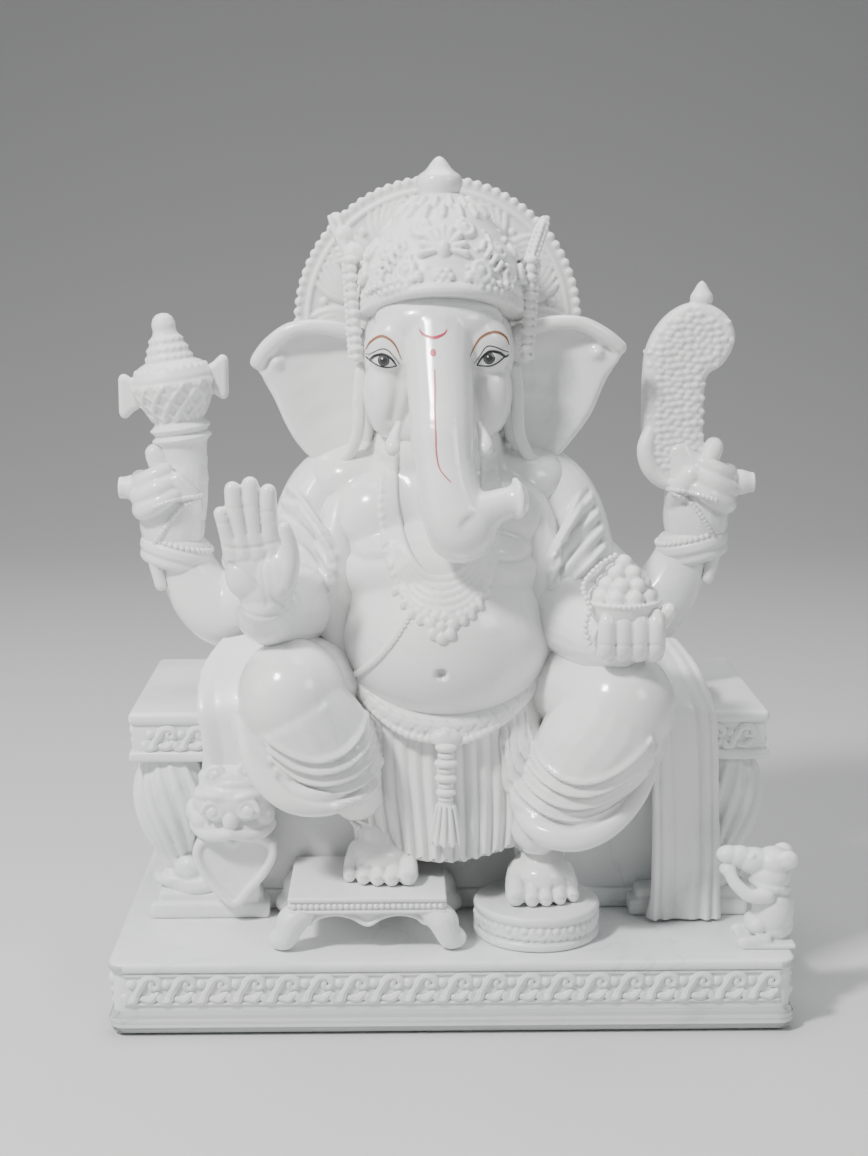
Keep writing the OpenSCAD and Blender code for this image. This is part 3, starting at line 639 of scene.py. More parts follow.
# an ear: a dished plate with a rolled upper rim that ends in a folded tip
ears = {
    "left": {"outline": [(-44, 262), (-60, 272), (-86, 277), (-106, 275), (-121, 264), (-133, 252), (-129, 242),
                         (-119, 228), (-109, 203), (-98, 187), (-86, 176), (-68, 174), (-54, 182), (-46, 200)],
             "rim": [(-50, -12, 266, 6), (-68, -16, 272, 6.5), (-88, -17, 274.5, 6.5), (-106, -15, 272, 6.4),
                     (-121, -12, 261, 6.4), (-129.5, -9, 250, 6.2)],
             "knob": (-116, -12, 249.5), "centre": (-88, 228),
             "low": [(-124, -6, 238, 3), (-116, -6, 224, 3.4), (-107, -6, 204, 3.6), (-97, -6, 189, 3.8),
                     (-84, -8, 179, 3.8), (-68, -11, 177, 3.8), (-55, -14, 184, 3.6)],
             "ribs": [[(-60, 255), (-84, 256), (-106, 246)], [(-60, 240), (-82, 240), (-103, 230)],
                      [(-60, 224), (-78, 223), (-96, 212)], [(-60, 208), (-72, 205), (-88, 195)]]},
    "right": {"outline": [(44, 264), (60, 273), (84, 280), (103, 279), (119, 270), (133, 260), (130, 249),
                          (121, 238), (111, 215), (98, 195), (83, 178), (67, 175), (56, 184), (47, 202)],
              "rim": [(50, -12, 268, 6), (68, -16, 274, 6.5), (86, -17, 277.5, 6.5), (104, -15, 276, 6.4),
                      (120, -12, 268, 6.2), (131, -9, 260, 5.6)],
              "knob": (115, -12, 256), "centre": (88, 232), "low": [(125, -6, 246, 3), (118, -6, 234, 3.4),
                                                                    (109, -6, 213, 3.6), (96, -6, 195, 3.8),
                                                                    (82, -8, 181, 3.8), (67, -11, 178, 3.8),
                                                                    (56, -14, 186, 3.6)],
              "ribs": [[(60, 258), (84, 260), (106, 252)], [(60, 243), (82, 244), (103, 236)],
                       [(60, 227), (78, 227), (97, 218)], [(60, 211), (72, 208), (88, 199)]]},
}
for name, ear in ears.items():
    parts = [addPlate(ear["outline"], -6, 11, bevel=2.5), addRod(ear["rim"], 6, 12), addRod(ear["low"], 5, 10)]
    way = sides[name]
    parts.append(addRod([(way * 55, -22, 246, 5), (way * 57, -24, 222, 5.5), (way * 58, -26, 200, 5),
                         (way * 66, -24, 182, 4.5), (way * 80, -14, 176, 4)], 5, 12))
    lobe = carved("ear" + name.title(), parts, voxel=1.3, passes=5)
    cx, cz = ear["centre"]
    frontStroke(lobe, [(cx, cz + 24), (cx, cz + 6), (cx * 0.93, cz - 14)], width=20, depth=-4.0)      # the dish
    for rib in ear["ribs"]:
        frontStroke(lobe, rib, width=4.0, depth=0.3)
    tipX, tipZ = ear["rim"][-1][0], ear["rim"][-1][2]
    stroke(lobe, [(ear["rim"][-2][0], -12, ear["rim"][-2][2] - 9), (tipX * 0.97, -9, tipZ - 5)], width=2.6,
           depth=-1.6)
    stroke(lobe, [ear["knob"]], width=4.6, depth=5.0)
    softened(lobe, 2)
    finishPiece(lobe, polished, ("ear_" + name,))
print("head and ears")

# painted eyes, brows and forehead marks
# a close-fitting layer of paint along a line on the head; points are x, z and half width
def paintedLine(points, lift=0.12, steps=7):
    pts = smoothPath(points, steps)
    verts, faces = [], []
    for i, p in enumerate(pts):
        way = (pts[min(i + 1, len(pts) - 1)].xy - pts[max(i - 1, 0)].xy).normalized()
        across = Vector((-way.y, way.x)) * max(p[2], 0.08)
        for s in (-1, 0, 1):
            spot = frontPoint(head, p[0] + across.x * s, p[1] + across.y * s, lift)
            verts.append(place(spot))
    for i in range(len(pts) - 1):
        for k in (0, 1):
            a = 3 * i + k
            faces.append((a, a + 1, a + 4, a + 3))
    return paintSheet(verts, faces)


# a filled patch of paint round a centre, given its edge
def paintedPatch(centre, edge, lift=0.12, rings=4):
    verts = [place(frontPoint(head, *centre, lift))]
    faces = []
    n = len(edge)
    for k in range(1, rings + 1):
        for p in edge:
            x = centre[0] + (p[0] - centre[0]) * k / rings
            z = centre[1] + (p[1] - centre[1]) * k / rings
            verts.append(place(frontPoint(head, x, z, lift)))
    for i in range(n):
        faces.append((0, 1 + i, 1 + (i + 1) % n))
        for k in range(1, rings):
            a, b = 1 + (k - 1) * n, 1 + k * n
            faces.append((a + i, b + i, b + (i + 1) % n, a + (i + 1) % n))
    return paintSheet(verts, faces)


def paintSheet(verts, faces):
    o = meshPiece("paint", verts, [], faces)
    editAll(outwards)
    if sum(p.normal.y * p.area for p in o.data.polygons) > 0:           # the outer side faces the front
        o.data.flip_normals()
    modify("SOLIDIFY", thickness=0.5 * mm, offset=-1)
    return o


def between(a, b, x, z):                                # the middle of two points, moved by x and z
    return ((a[0] + b[0]) / 2 + x, (a[1] + b[1]) / 2 + z)


layers = {colour: [] for colour in paint}
browHalves = (0.2, 0.65, 0.9, 0.7, 0.2)
for eye in eyes.values():
    outer, inner = eye["corners"]
    top, low, iris, out = eye["top"], eye["low"], eye["iris"], eye["out"]
    overInner, underOuter = between(inner, top, -out * 0.8, 1.2), between(outer, low, 0, -0.8)
    underInner = (inner[0] + low[0]) / 2
    lid = smoothPath([outer, between(outer, top, out, 1.1), top, overInner, inner], 5)
    under = smoothPath([inner, (underInner, low[1] + 0.1), low, underOuter, outer], 5)
    white = [tuple(p) for p in lid[:-1] + under[:-1]]
    layers["eyeWhite"].append(paintedPatch(((outer[0] + inner[0]) / 2, iris[1] - 0.6), white, lift=0.10))
    layers["black"].append(paintedPatch(iris, circle(iris, 4.1, 28), lift=0.22))
    layers["iris"].append(paintedPatch(iris, circle(iris, 3.4, 28), lift=0.32))
    layers["black"].append(paintedPatch(iris, circle(iris, 2.5, 28), lift=0.42))
    glint = (iris[0] - 1.0, iris[1] + 1.2)
    layers["eyeWhite"].append(paintedPatch(glint, circle(glint, 0.55, 10), lift=0.52, rings=2))
    # the lash line with its wing, the lower lid and the crease above; the last value is the half width
    lash = [(outer[0] + out * 3.2, outer[1] + 1.6, 0.2), (outer[0] + out * 0.6, outer[1] + 0.2, 0.7),
            (*between(outer, top, out, 1.2), 0.95), (*top, 1.0), (*overInner, 0.8), (*inner, 0.35)]
    lower = [(*outer, 0.45), (*underOuter, 0.4), (*low, 0.45), (underInner, low[1], 0.4), (*inner, 0.25)]
    crease = [(outer[0] + out * 3.4, outer[1] + 3.2, 0.15), (outer[0], outer[1] + 4.3, 0.3),
              (top[0] + out * 2, top[1] + 3.6, 0.36), (top[0] - out * 3, top[1] + 3.0, 0.36),
              (inner[0] + out, inner[1] + 5.2, 0.28), (inner[0] - out * 2, inner[1] + 1.2, 0.12)]
    layers["black"] += [paintedLine(lash, lift=0.5), paintedLine(lower, lift=0.5), paintedLine(crease, lift=0.3)]
    layers["brown"].append(paintedLine([(*p, half) for p, half in zip(eye["brow"], browHalves)], lift=0.3))
layers["red"].append(paintedLine([(-14.0, 275.6, 0.2), (-11.5, 272.2, 0.7), (-4.6, 269.9, 1.0), (2.4, 272.2, 0.7),
                                  (5.0, 275.6, 0.2)], lift=0.3))
layers["red"].append(paintedPatch((-4.8, 260.0), circle((-4.8, 260.0), 1.9, 20, 2.6 / 1.9), lift=0.3))
layers["red"].append(paintedLine([(-3.8, 249.0, 0.35), (-3.7, 236, 0.5), (-3.9, 222, 0.5), (-3.4, 206, 0.5),
                                  (-3.0, 194, 0.5), (-0.6, 184, 0.45), (6.5, 176, 0.25)], lift=0.3))
for colour, sheets in layers.items():
    finishPiece(joined("paint" + colour.title(), sheets), paint[colour])
print("paint")


# shawl folds over the shoulders
shawls = {
    "left": {"core": [(-56, 4, 178, 22), (-82, 0, 154, 28), (-96, -14, 120, 28), (-98, -30, 92, 30)],
             "folds": [[(-112, 150), (-98, 146), (-84, 132), (-74, 116)],
                       [(-114, 140), (-100, 134), (-86, 121), (-76, 106)],
                       [(-116, 129), (-102, 122), (-88, 110), (-77, 96)],
                       [(-116, 118), (-103, 110), (-90, 99), (-79, 86)],
                       [(-112, 105), (-100, 98), (-90, 88), (-80, 76)]],
             "edge": [(-108, -14, 160, 2.4), (-97, -34, 150, 3.2), (-84, -50, 132, 3.6), (-77, -55, 115, 3.8),
                      (-76, -58, 92, 3.8), (-78, -56, 70, 3.6), (-78, -54, 52, 3.0)]},
    "right": {"core": [(58, 4, 176, 22), (86, 0, 152, 28), (99, -14, 120, 28), (98, -30, 94, 29)],
              "folds": [[(110, 152), (100, 144), (88, 130), (80, 114)],
                        [(114, 141), (102, 132), (90, 119), (81, 104)],
                        [(117, 130), (104, 120), (92, 108), (82, 93)], [(118, 118), (106, 108), (94, 96), (84, 82)],
                        [(116, 106), (104, 96), (94, 86), (86, 74)]],
              "edge": [(106, -14, 160, 2.4), (99, -34, 148, 3.2), (88, -50, 130, 3.6), (82, -55, 112, 3.8),
                       (81, -58, 92, 3.8), (82, -56, 72, 3.6), (80, -52, 54, 3.0)]},
}
for name, shawl in shawls.items():
    lace = addBeads([p[:3] for p in shawl["edge"]], 3.0, 5.0)
    way = sides[name]
    fill = [(way * 66, -26, 158, 9), (way * 72, -36, 136, 12), (way * 74, -44, 108, 14), (way * 74, -46, 76, 15),
            (way * 68, -50, 44, 14), (way * 56, -56, 22, 10)]
    drape = carved(name + "Shawl", [addRod(fill, 6, 16), addRod(shawl["core"], 6, 22),
                                    addRod(shawl["edge"], 6, 10)] + lace, voxel=1.35, passes=3)
    for fold in shawl["folds"]:
        frontStroke(drape, fold, width=3.4, depth=2.6)
        frontStroke(drape, [(x, z + 5.4) for x, z in fold], width=2.0, depth=-2.0)
        stroke(drape, [(x * 0.96, 26, z - 8) for x, z in fold], width=4.0, depth=2.4)
    softened(drape, 2)
    finishPiece(drape, cloth, ("shawl_" + name,))

# front arms: one raised in blessing, one holding a bowl of sweets
blessing = {
    "arm": [(-100, -40, 80, 31), (-113, -66, 80, 28), (-119, -86, 82, 24), (-120, -98, 88, 19)],
    "heel": [((-120, -103, 100), (20, 14, 16)), ((-130, -107, 112), (17, 11, 19)), ((-114, -108, 111), (16, 13, 19)),
             ((-124, -105, 121), (25.5, 10, 15))],
    "mound": ((-109, -113, 112), (10, 9, 18)),
    "fingers": {"little": [(-140, -108, 124, 8), (-143, -111, 138, 6.6), (-146, -114, 150, 6.0),
                           (-148, -115, 154.5, 5.2)],
                "ring": [(-133, -109, 126, 8.5), (-135.5, -112, 142, 7.2), (-138.5, -115, 160, 6.6),
                         (-139.8, -116, 171, 5.8)],
                "middle": [(-124, -109, 126, 8.5), (-126, -112, 144, 7.4), (-127.5, -115, 163, 6.8),
                           (-128, -116, 174, 6.0)],
                "index": [(-114, -109, 126, 8.5), (-116, -112, 142, 7.0), (-116.5, -115, 160, 6.4),
                          (-116, -116, 169.5, 5.6)],
                "thumb": [(-107, -113, 106, 9), (-102.5, -116, 120, 7.4), (-102, -119, 133, 6.0),
                          (-105, -121, 145.5, 4.8)]},
    "creases": [[(-149, 132.5), (-136, 131), (-120, 133), (-108, 137)],
                [(-143, 121), (-130, 114), (-120, 100), (-118, 92)], [(-117, 129), (-121, 117), (-119, 102)],
                [(-136, 87), (-120, 83.5), (-104, 86)]],
    "joints": [[(-151, 148), (-143, 149)], [(-144, 158), (-133, 159)], [(-133, 160), (-122, 160)],
               [(-122, 156), (-111, 157)]],
}
parts = [addRod(blessing["arm"], 6, 20), addBall(*blessing["mound"])]
parts += [addBall(at, r) for at, r in blessing["heel"]]
parts += [addRod(finger, 5, 14) for finger in blessing["fingers"].values()]
hand = carved("blessingArm", parts, voxel=1.05, passes=3)
for line in blessing["creases"]:
    frontStroke(hand, line, width=1.3, depth=-0.9)
for line in blessing["joints"]:
    frontStroke(hand, line, width=1.0, depth=-0.45)
fingers = list(blessing["fingers"].values())[:4]
for finger, other in zip(fingers, fingers[1:]):          # the grooves between fingers
    frontStroke(hand, [((a[0] + b[0]) / 2, min(a[2], b[2])) for a, b in zip(finger, other)][1:], width=1.2,
                depth=-1.1)
softened(hand, 1)
finishPiece(hand, polished, ("forearm_left", "hand_blessing"))

sweetsHand = {
    "arm": [(90, -38, 74, 31), (104, -66, 66, 28), (114, -86, 62, 24), (122, -98, 62, 20)],
    "palm": [((126, -104, 68), (24, 17, 14)), ((130, -108, 78), (24, 15, 9))],
    "fingers": [[(112 + 11.2 * k, -104, 60, 8), (112.5 + 11 * k, -115, 58, 7.2), (112.8 + 11 * k, -121.5, 64, 7.0),
                 (112.6 + 11 * k, -124, 78, 6.6),
                 (112.6 + 11 * k, -122, 87 - 1.2 * abs(k - 1.4), 5.0)] for k in range(4)],
    "thumb": [(146, -104, 72, 8), (151, -112, 80, 6.6), (155, -116, 87, 5.8)],
    "knuckles": [[(107 + 11 * k, 66), (118 + 11 * k, 66)] for k in range(4)],
}
parts = [addRod(sweetsHand["arm"], 6, 20), addRod(sweetsHand["thumb"], 5, 12)]
parts += [addBall(at, r) for at, r in sweetsHand["palm"]]
parts += [addRod(finger, 5, 12) for finger in sweetsHand["fingers"]]
palm = carved("sweetsArm", parts, voxel=1.05, passes=2)
for line in sweetsHand["knuckles"]:
    frontStroke(palm, line, width=1.1, depth=-0.5)
softened(palm, 1)
finishPiece(palm, polished, ("forearm_right", "hand_sweets"))

bowl = {"at": (125, -106), "rim": (25, 92.5),
        "profile": [(0, 76), (14, 76), (20, 79), (23, 84), (25, 90), (25.5, 92.5), (24, 94), (21, 93), (0, 90)],
        # radius, height, size, count and shift of each tier of sweets
        "tiers": [(17.5, 96, 6.8, 9, 0.2), (13, 104, 6.4, 7, 0), (8, 112, 6, 4, 0.5), (0, 118.5, 6.4, 1, 0)]}
bx, by = bowl["at"]
rimRadius, rimHeight = bowl["rim"]
parts = [addTurned((bx, by, 0), bowl["profile"], 40)]
parts += addBeads([(x, y, rimHeight) for x, y in circle(bowl["at"], rimRadius, 30)], 1.9, 3.4, closed=True)
for radius, z, size, count, shift in bowl["tiers"]:
    for k in range(count):
        a = 2 * pi * (k + shift) / count
        parts.append(addBall((bx + radius * cos(a), by + radius * sin(a) * 0.95, z), (size, size, size * 0.95),
                             rings=9))
parts.append(addBall((bx, by, 98), (18, 17, 14), rings=9))
sweets = carved("bowlOfSweets", parts, voxel=0.95, passes=1)
chain = [(101, -120, 90), (98, -117, 97), (97, -112, 104), (103, -108, 112), (111, -107, 119), (119, -107, 124)]
extra = addBeads(chain, 2.0, 3.7) + addBeads([(100, -121, 86), (98, -120, 76), (101, -120, 66)], 2.2, 4.0)
finishPiece(joined("bowlOfSweets", [sweets] + extra), relief, ("sweets_bowl",))
print("front arms")

# rear arms, with fists, cords and bangles
rear = {
    "left": {"wrist": (-197, 30, 104),
             "arm": [(-76, 22, 128, 30), (-118, 26, 88, 30), (-154, 28, 60, 27.5), (-172, 29, 67, 26),
                     (-185, 30, 86, 22.5), (-193, 30, 108, 20)],
             "tilt": 15},
    "right": {"wrist": (194, 30, 108),
              "arm": [(76, 22, 128, 30), (116, 26, 88, 30), (152, 28, 58, 27.5), (168, 29, 67, 26),
                      (181, 30, 88, 22.5), (190, 30, 110, 20)],
              "tilt": -15},
}
fist = {
    "palm": [(0, 0, 2, 18), (1, -1, 14, 23.5), (1, -2, 30, 24.5), (-4, -2, 48, 20), (-9, -3, 62, 17),
             (-12, -4, 70, 15)],
    "fingers": [[(22, -8, 36, 8.5), (20, -22, 36, 8), (8, -29, 42, 7.4), (-2, -27, 48, 6)],
                [(24, -6, 46, 8.5), (22, -20, 46, 8), (10, -28, 52, 7.4), (0, -26, 57, 6)],
                [(24, -4, 56, 8), (22, -16, 56, 7.6), (12, -24, 61, 7), (3, -23, 66, 5.6)]],
    "thumb": [(-14, -8, 34, 9), (-14, -20, 46, 8), (-6, -25, 58, 7)],
    "knob": [(8, -8, 66, 9), (12, -10, 76, 8)],
    # the cords lie on the surface, so their points are x and z
    "cords": [[(-20, 44), (-8, 38), (2, 26), (10, 14), (17, 4)], [(-22, 46), (-14, 46), (-2, 44), (10, 40)]],
}
for name, arm in rear.items():
    side, (wx, wy, wz) = sides[name], arm["wrist"]

    def onFist(points):
        return [(wx + side * p[0], wy + p[1], wz + p[2], *p[3:]) for p in points]

    limb = carved(name + "RearArm", [addRod(arm["arm"], 6, 22)], voxel=1.8, passes=5)
    finishPiece(limb, polished, ("rear_arm_" + name, "rear_forearm_" + name))
    parts = [addRod(onFist(fist["palm"]), 5, 18)]
    parts += [addRod(onFist(p), 5, 14) for p in fist["fingers"]]
    parts += [addRod(onFist(fist["thumb"]), 5, 12), addRod(onFist(fist["knob"]), 4, 12)]
    grip = carved(name + "Fist", parts, voxel=1.15, passes=2)
    cord = []
    for line in fist["cords"]:
        path = frontPath(grip, [(wx + side * x, wz + z) for x, z in line], 6, 0.4)
        cord.append(addRod([(*p, 1.7) for p in path], 1, 8))
        cord += addBeads(path, 2.0, 3.1)
    finishPiece(joined(name + "Fist", [grip] + cord), polished, ("fist_" + name,))

    # a thick bangle with a beaded face, tipped with the wrist
    turn = Matrix.Rotation(radians(arm["tilt"]), 3, "Y")

    def onWrist(radius, squash, up):
        return [turn @ Vector((x, y, up)) + Vector(arm["wrist"]) for x, y in circle((0, 0), radius, 24, squash)]

    parts = []
    for radius, thick, up in ((20.5, 7.6, 3), (20.0, 4.8, 10), (20.5, 5.6, -5)):
        parts.append(addRod([(*p, thick) for p in onWrist(radius, 0.98, up)], 2, 10, closed=True))
    bangle = carved(name + "Bangle", parts, voxel=1.0, passes=3)
    beads = addBeads(onWrist(25.2, 25.0 / 25.2, 9.4), 2.3, 4.3, closed=True)
    arrow = addRod([(wx + side * 14, wy - 14, wz - 2, 5.5), (wx + side * 12, wy - 14, wz - 12, 5),
                    (wx + side * 10, wy - 14, wz - 22, 4.4)], 4, 10)
    finishPiece(joined(name + "Bangle", [bangle] + beads + [arrow]), relief, ("bangle_" + name,))
print("rear arms")

# the emblems held up by the rear hands
handles = {"axe_handle": ["left", (-236.4, 20, 155, 8.2), (-226, 20, 155, 8.2), (-206, 21, 155, 8)],
           "noose_handle": ["right", (237.2, 20, 158, 7.6), (226, 20, 158, 7.6), (206, 21, 158, 8)]}
for node, (name, *path) in handles.items():
    side, (x, y, z, _) = sides[name], path[0]
    collar = addRod([(x - side * 9, y, z, 9.6), (x - side * 13, y, z, 9.8)], 3, 16)
    haft = carved(name + "Handle", [addRod(path, 4, 16, roundEnds=False), collar], voxel=0.9, passes=2)
    finishPiece(haft, relief, (node,))

axe = {
    "at": (-187.5, 26, 177), "tilt": (0, -8, 0),
    "profile": [(0, -20), (14.5, -20), (15.2, -8), (16.5, 2), (17.5, 8), (18.5, 11), (20.6, 13), (20.6, 16.5),
                (18.6, 18), (20.8, 20), (20.8, 24), (18.2, 26.5), (18, 29), (22, 36), (28, 47), (30.8, 56),
                (29.6, 58), (29.6, 61), (27.6, 66), (23, 70), (17.4, 72.5), (17.0, 76), (15.2, 78.5), (14.8, 82.5),
                (12.6, 85), (12.0, 89), (9.4, 91.5), (8.4, 95), (8.9, 99), (7.6, 103.5), (4.5, 106.5), (0, 107.6)],
    "lug": {"z": 52, "flare": [(22, 8), (28, 8.5), (33, 11), (36, 13.5), (38.4, 15.5)]},
}
axeTurn = Matrix.Rotation(radians(axe["tilt"][1]), 3, "Y")


def onAxe(a, z, lift=0.0):
    r = radiusAt(axe["profile"], z) + lift
    return tuple(axeTurn @ Vector((r * sin(a), -r * cos(a), z)) + Vector(axe["at"]))


parts = [addTurned(axe["at"], axe["profile"], 48, axe["tilt"]),
         addRod([(-187, 26, 180, 15), (-187.5, 26, 168, 16.5), (-190, 27, 152, 19), (-193, 28, 134, 20)], 5, 20)]
for twist in (1, -1):                                    # the basket weave round the lower half
    for k in range(13):
        a = 2 * pi * k / 13
        parts.append(addRod([(*onAxe(a + twist * (z - 30) / 30, z, 0.1), 1.8 if twist > 0 else 1.4)
                             for z in (30, 36, 42, 48, 54)], 2, 6))
for z in (14.6, 22.2):
    parts += addBeads([onAxe(2 * pi * k / 36, z, 0.4) for k in range(36)], 1.5, 2.7, closed=True)
for z, count in ((67, 26), (75, 20), (81, 17), (87.5, 13)):   # small scallops round each step of the cone
    for k in range(count):
        parts.append(addBall(onAxe(2 * pi * k / count, z, -0.6), 1.7, rings=6))
flare = axe["lug"]["flare"]
for side in (-1, 1):                                     # the flared lugs at each side
    for (out, half), (nextOut, nextHalf) in zip(flare, flare[1:]):
        shift = axe["lug"]["z"] + (3 if side > 0 else -1)
        for f in (0.0, 0.5):
            x = side * (out + (nextOut - out) * f)
            h = half + (nextHalf - half) * f
            p = axeTurn @ Vector((x, 0, shift)) + Vector(axe["at"])
            parts.append(addRod([(p.x, p.y, p.z - h + 2.4, 4.4), (p.x, p.y, p.z + h - 2.4, 4.4)], 2, 10))
emblem = carved("axeEmblem", parts, voxel=0.95, passes=1)
finishPiece(emblem, relief, ("axe",))

# how far a point lies inside a closed outline, or -1 outside it
def insideBy(outline, x, z):
    inside, gap = False, 1e9
    for (x0, z0), (x1, z1) in zip(outline, outline[1:] + outline[:1]):
        if (z0 > z) != (z1 > z) and x < x0 + (z - z0) * (x1 - x0) / (z1 - z0):
            inside = not inside
        t = max(0, min(1, ((x - x0) * (x1 - x0) + (z - z0) * (z1 - z0)) / ((x1 - x0) ** 2 + (z1 - z0) ** 2)))
        gap = min(gap, hypot(x - x0 - t * (x1 - x0), z - z0 - t * (z1 - z0)))
    return gap if inside else -1


noose = {
    "outline": [(160, 164), (155, 182), (153, 200), (153, 236), (155, 256), (162, 272), (173, 284), (187, 290.5),
                (202, 289), (214, 281), (220, 269), (218.5, 257), (211, 245), (201, 238), (198.5, 226), (198, 200),
                (199, 178), (188, 162), (172, 158)],
    "y": 27, "thick": 22, "eye": (196, 262),
}
parts = [addPlate(noose["outline"], noose["y"], noose["thick"], bevel=6)]
(cx, cz), middleY = noose["eye"], noose["y"]
for inward in (1, -1):                                   # the front, then the back
    face = middleY - inward * noose["thick"] / 2
    for row in range(28):                                # scales over the whole face, curling round the hood
        for k in range(12):
            x = 151 + 6.0 * k + (3.0 if row % 2 else 0) + 0.8 * sin(3.1 * row + k)
            z = 160 + 4.7 * row + 0.9 * sin(1.7 * k + row)
            edgeGap = insideBy(noose["outline"], x, z)
            if edgeGap > 2.2:
                near = hypot(x - cx, z - cz) < 9
                size = (2.6, 2.4, 2.3) if near else (3.5, 2.7, 2.3)
                parts.append(addBall((x, face + inward * (0.6 if edgeGap > 7 else 2.2), z), size, rings=5))
parts.append(addRod([(195, middleY, 286, 6), (195, middleY, 291, 6.5), (195, middleY, 294, 5)], 3, 12))
parts.append(addTurned((195.5, middleY, 290), [(0, 0), (7.5, 0), (8.6, 3), (8.2, 6), (5.6, 10), (3.4, 14),
                                               (0, 17.4)], 24))
parts.append(addRod([(159, 20, 197, 5.5), (155, 18, 184, 6.5), (158, 18, 170, 6.5), (167, 20, 160, 6),
                     (178, 22, 156, 5)], 5, 12))
parts.append(addRod([(176, 16, 158, 4), (190, 13, 162, 5), (200, 15, 172, 6.5), (206, 18, 184, 7.4)], 5, 12))
snake = carved("nooseEmblem", parts, voxel=1.0, passes=1)
finishPiece(snake, relief, ("noose",))
print("emblems")


# crown
crown = {
    "centre": (3, -6),
    "profile": [(0, 297), (54, 297), (58, 298), (60.5, 300), (61.5, 303), (61, 306), (59, 314), (55.5, 322),
                (51.5, 329), (46, 335), (42.5, 340), (39, 344), (34.5, 350), (29.5, 355.5), (24, 360.5),
                (18.5, 364.5), (16, 368), (0, 369)],
}


def onCrown(a, z, lift=0.0):                              # a is degrees from the front, to the right
    r = radiusAt(crown["profile"][2:-1], z) + lift
    return (crown["centre"][0] + r * sin(radians(a)), crown["centre"][1] - r * cos(radians(a)), z)


# a curl that winds in to its eye: centre and size in degrees and mm
def curl(a, z, size, turns=1.6, hand=1, start=0.0, thick=1.9, lift=0.7):
    pts = []
    for i in range(15):
        t = i / 14
        r = size * (1 - 0.82 * t)
        w = radians(start) + hand * turns * 2 * pi * t
        across = degrees(r * cos(w) / radiusAt(crown["profile"][2:-1], z))
        pts.append((*onCrown(a + across, z + r * sin(w), lift), thick * (1 - 0.35 * t)))
    return addRod(pts, 2, 8)


def brimDip(a):                                           # the brim is highest at the middle of the forehead
    return 19 * (1 - cos(radians(min(abs(a), 90))) ** 1.3)


shell = addTurned((*crown["centre"], 0), crown["profile"], 96)
select([shell])
bpy.ops.object.transform_apply(location=True, rotation=True, scale=True)
for v in shell.data.vertices:                             # the lower edge of the body follows the brim
    p = (v.co - figure) / mm
    turned = degrees(atan2(p.x - crown["centre"][0], crown["centre"][1] - p.y))
    v.co.z -= brimDip(turned) * max(0, min(1, (332 - p.z) / 34)) * mm
parts = [shell]
brim = [(*onCrown(a, 302.5 - brimDip(a), 0.3), 4.8 - 0.02 * min(abs(a), 80)) for a in range(-176, 184, 8)]
parts.append(addRod(brim, 2, 10, closed=True))
for row, (z, size) in enumerate(((301, 3.0), (306, 2.8), (311, 2.6))):
    count = 70 - 2 * row
    for k in range(count):
        a = 360 * (k + 0.5 * (row % 2)) / count - 180
        if abs(a) < 30 - 7 * row:
            continue
        parts.append(addBall(onCrown(a, z - brimDip(a), 1.4), size, rings=6))
# scroll work: pairs of curls that face each other round a fan at the front, and again round the sides
for turn in (0, 120, -120):
    for s in (-1, 1):
        parts += [curl(turn + s * 25, 315, 8.6, hand=s, start=200 if s > 0 else -20, thick=2.7, lift=1.2),
                  curl(turn + s * 49, 311, 7.0, hand=-s, start=90, thick=2.3, lift=1.0),
                  curl(turn + s * 22, 345, 6.8, hand=s, start=200 if s > 0 else -20, thick=2.4, lift=1.2),
                  curl(turn + s * 47, 329, 7.4, hand=s, start=120, thick=2.5, lift=1.1)]
        for a, z, wide, deep in ((22, 345, 2.9, 2.6), (25, 315, 3.6, 3.0), (47, 329, 3.0, 2.6)):    # their eyes
            parts.append(addBall(onCrown(turn + s * a, z, 1.4), (wide, deep, wide), rings=6))
        for k in range(4):                                # a leaf fringe that leans away from the fan
            a, z = turn + s * (31 + 2.5 * k), 330 - 5.0 * k
            parts.append(addRod([(*onCrown(a, z, 1.0), 1.5), (*onCrown(a + s * 5, z + 4.5, 2.0), 2.2)], 3, 8))
    for k in range(9):                                    # the fan medallion
        w = radians(-14 + 208 * k / 8)
        tip = onCrown(turn + degrees(14 * cos(w) / 48), 330 + 14 * sin(w), 2.2)
        root = onCrown(turn + degrees(6 * cos(w) / 48), 330 + 6 * sin(w), 2.2)
        parts.append(addRod([(*root, 1.6), (*tip, 3.0)], 3, 8))
    parts.append(addBall(onCrown(turn, 329, 1.0), (4.8, 4.2, 7.0), rings=8))
    for x, z in circle((0, 311), 4.6, 6):                 # a small flower under the fan
        parts.append(addBall(onCrown(turn + degrees(x / 58), z, 1.2), (2.5, 2.2, 2.5), rings=6))
    parts.append(addBall(onCrown(turn, 311, 1.8), (2.2, 2.2, 2.2), rings=6))
for z, count, size, up in ((357, 16, 4.4, 2.0), (364, 14, 3.6, 1.0)):   # tiers of leaves towards the top
    for k in range(count):
        a = 360 * (k + 0.5 * (count % 4 == 2)) / count
        low, high = onCrown(a, z - 4, 1.0), onCrown(a, z + up, 2.4)
        parts.append(addRod([(*low, size * 0.55), (*high, size * 0.62)], 3, 8))
rng = np.random.default_rng(7)
for k in range(110):                                      # fill of small buds between the curls
    a, z = rng.uniform(-180, 180), rng.uniform(306, 342)
    parts.append(addBall(onCrown(a, z, 0.0), rng.uniform(1.2, 2.0), rings=5))
dome = carved("crownDome", parts, voxel=1.0, passes=1)
finishPiece(dome, relief, ("crown",))

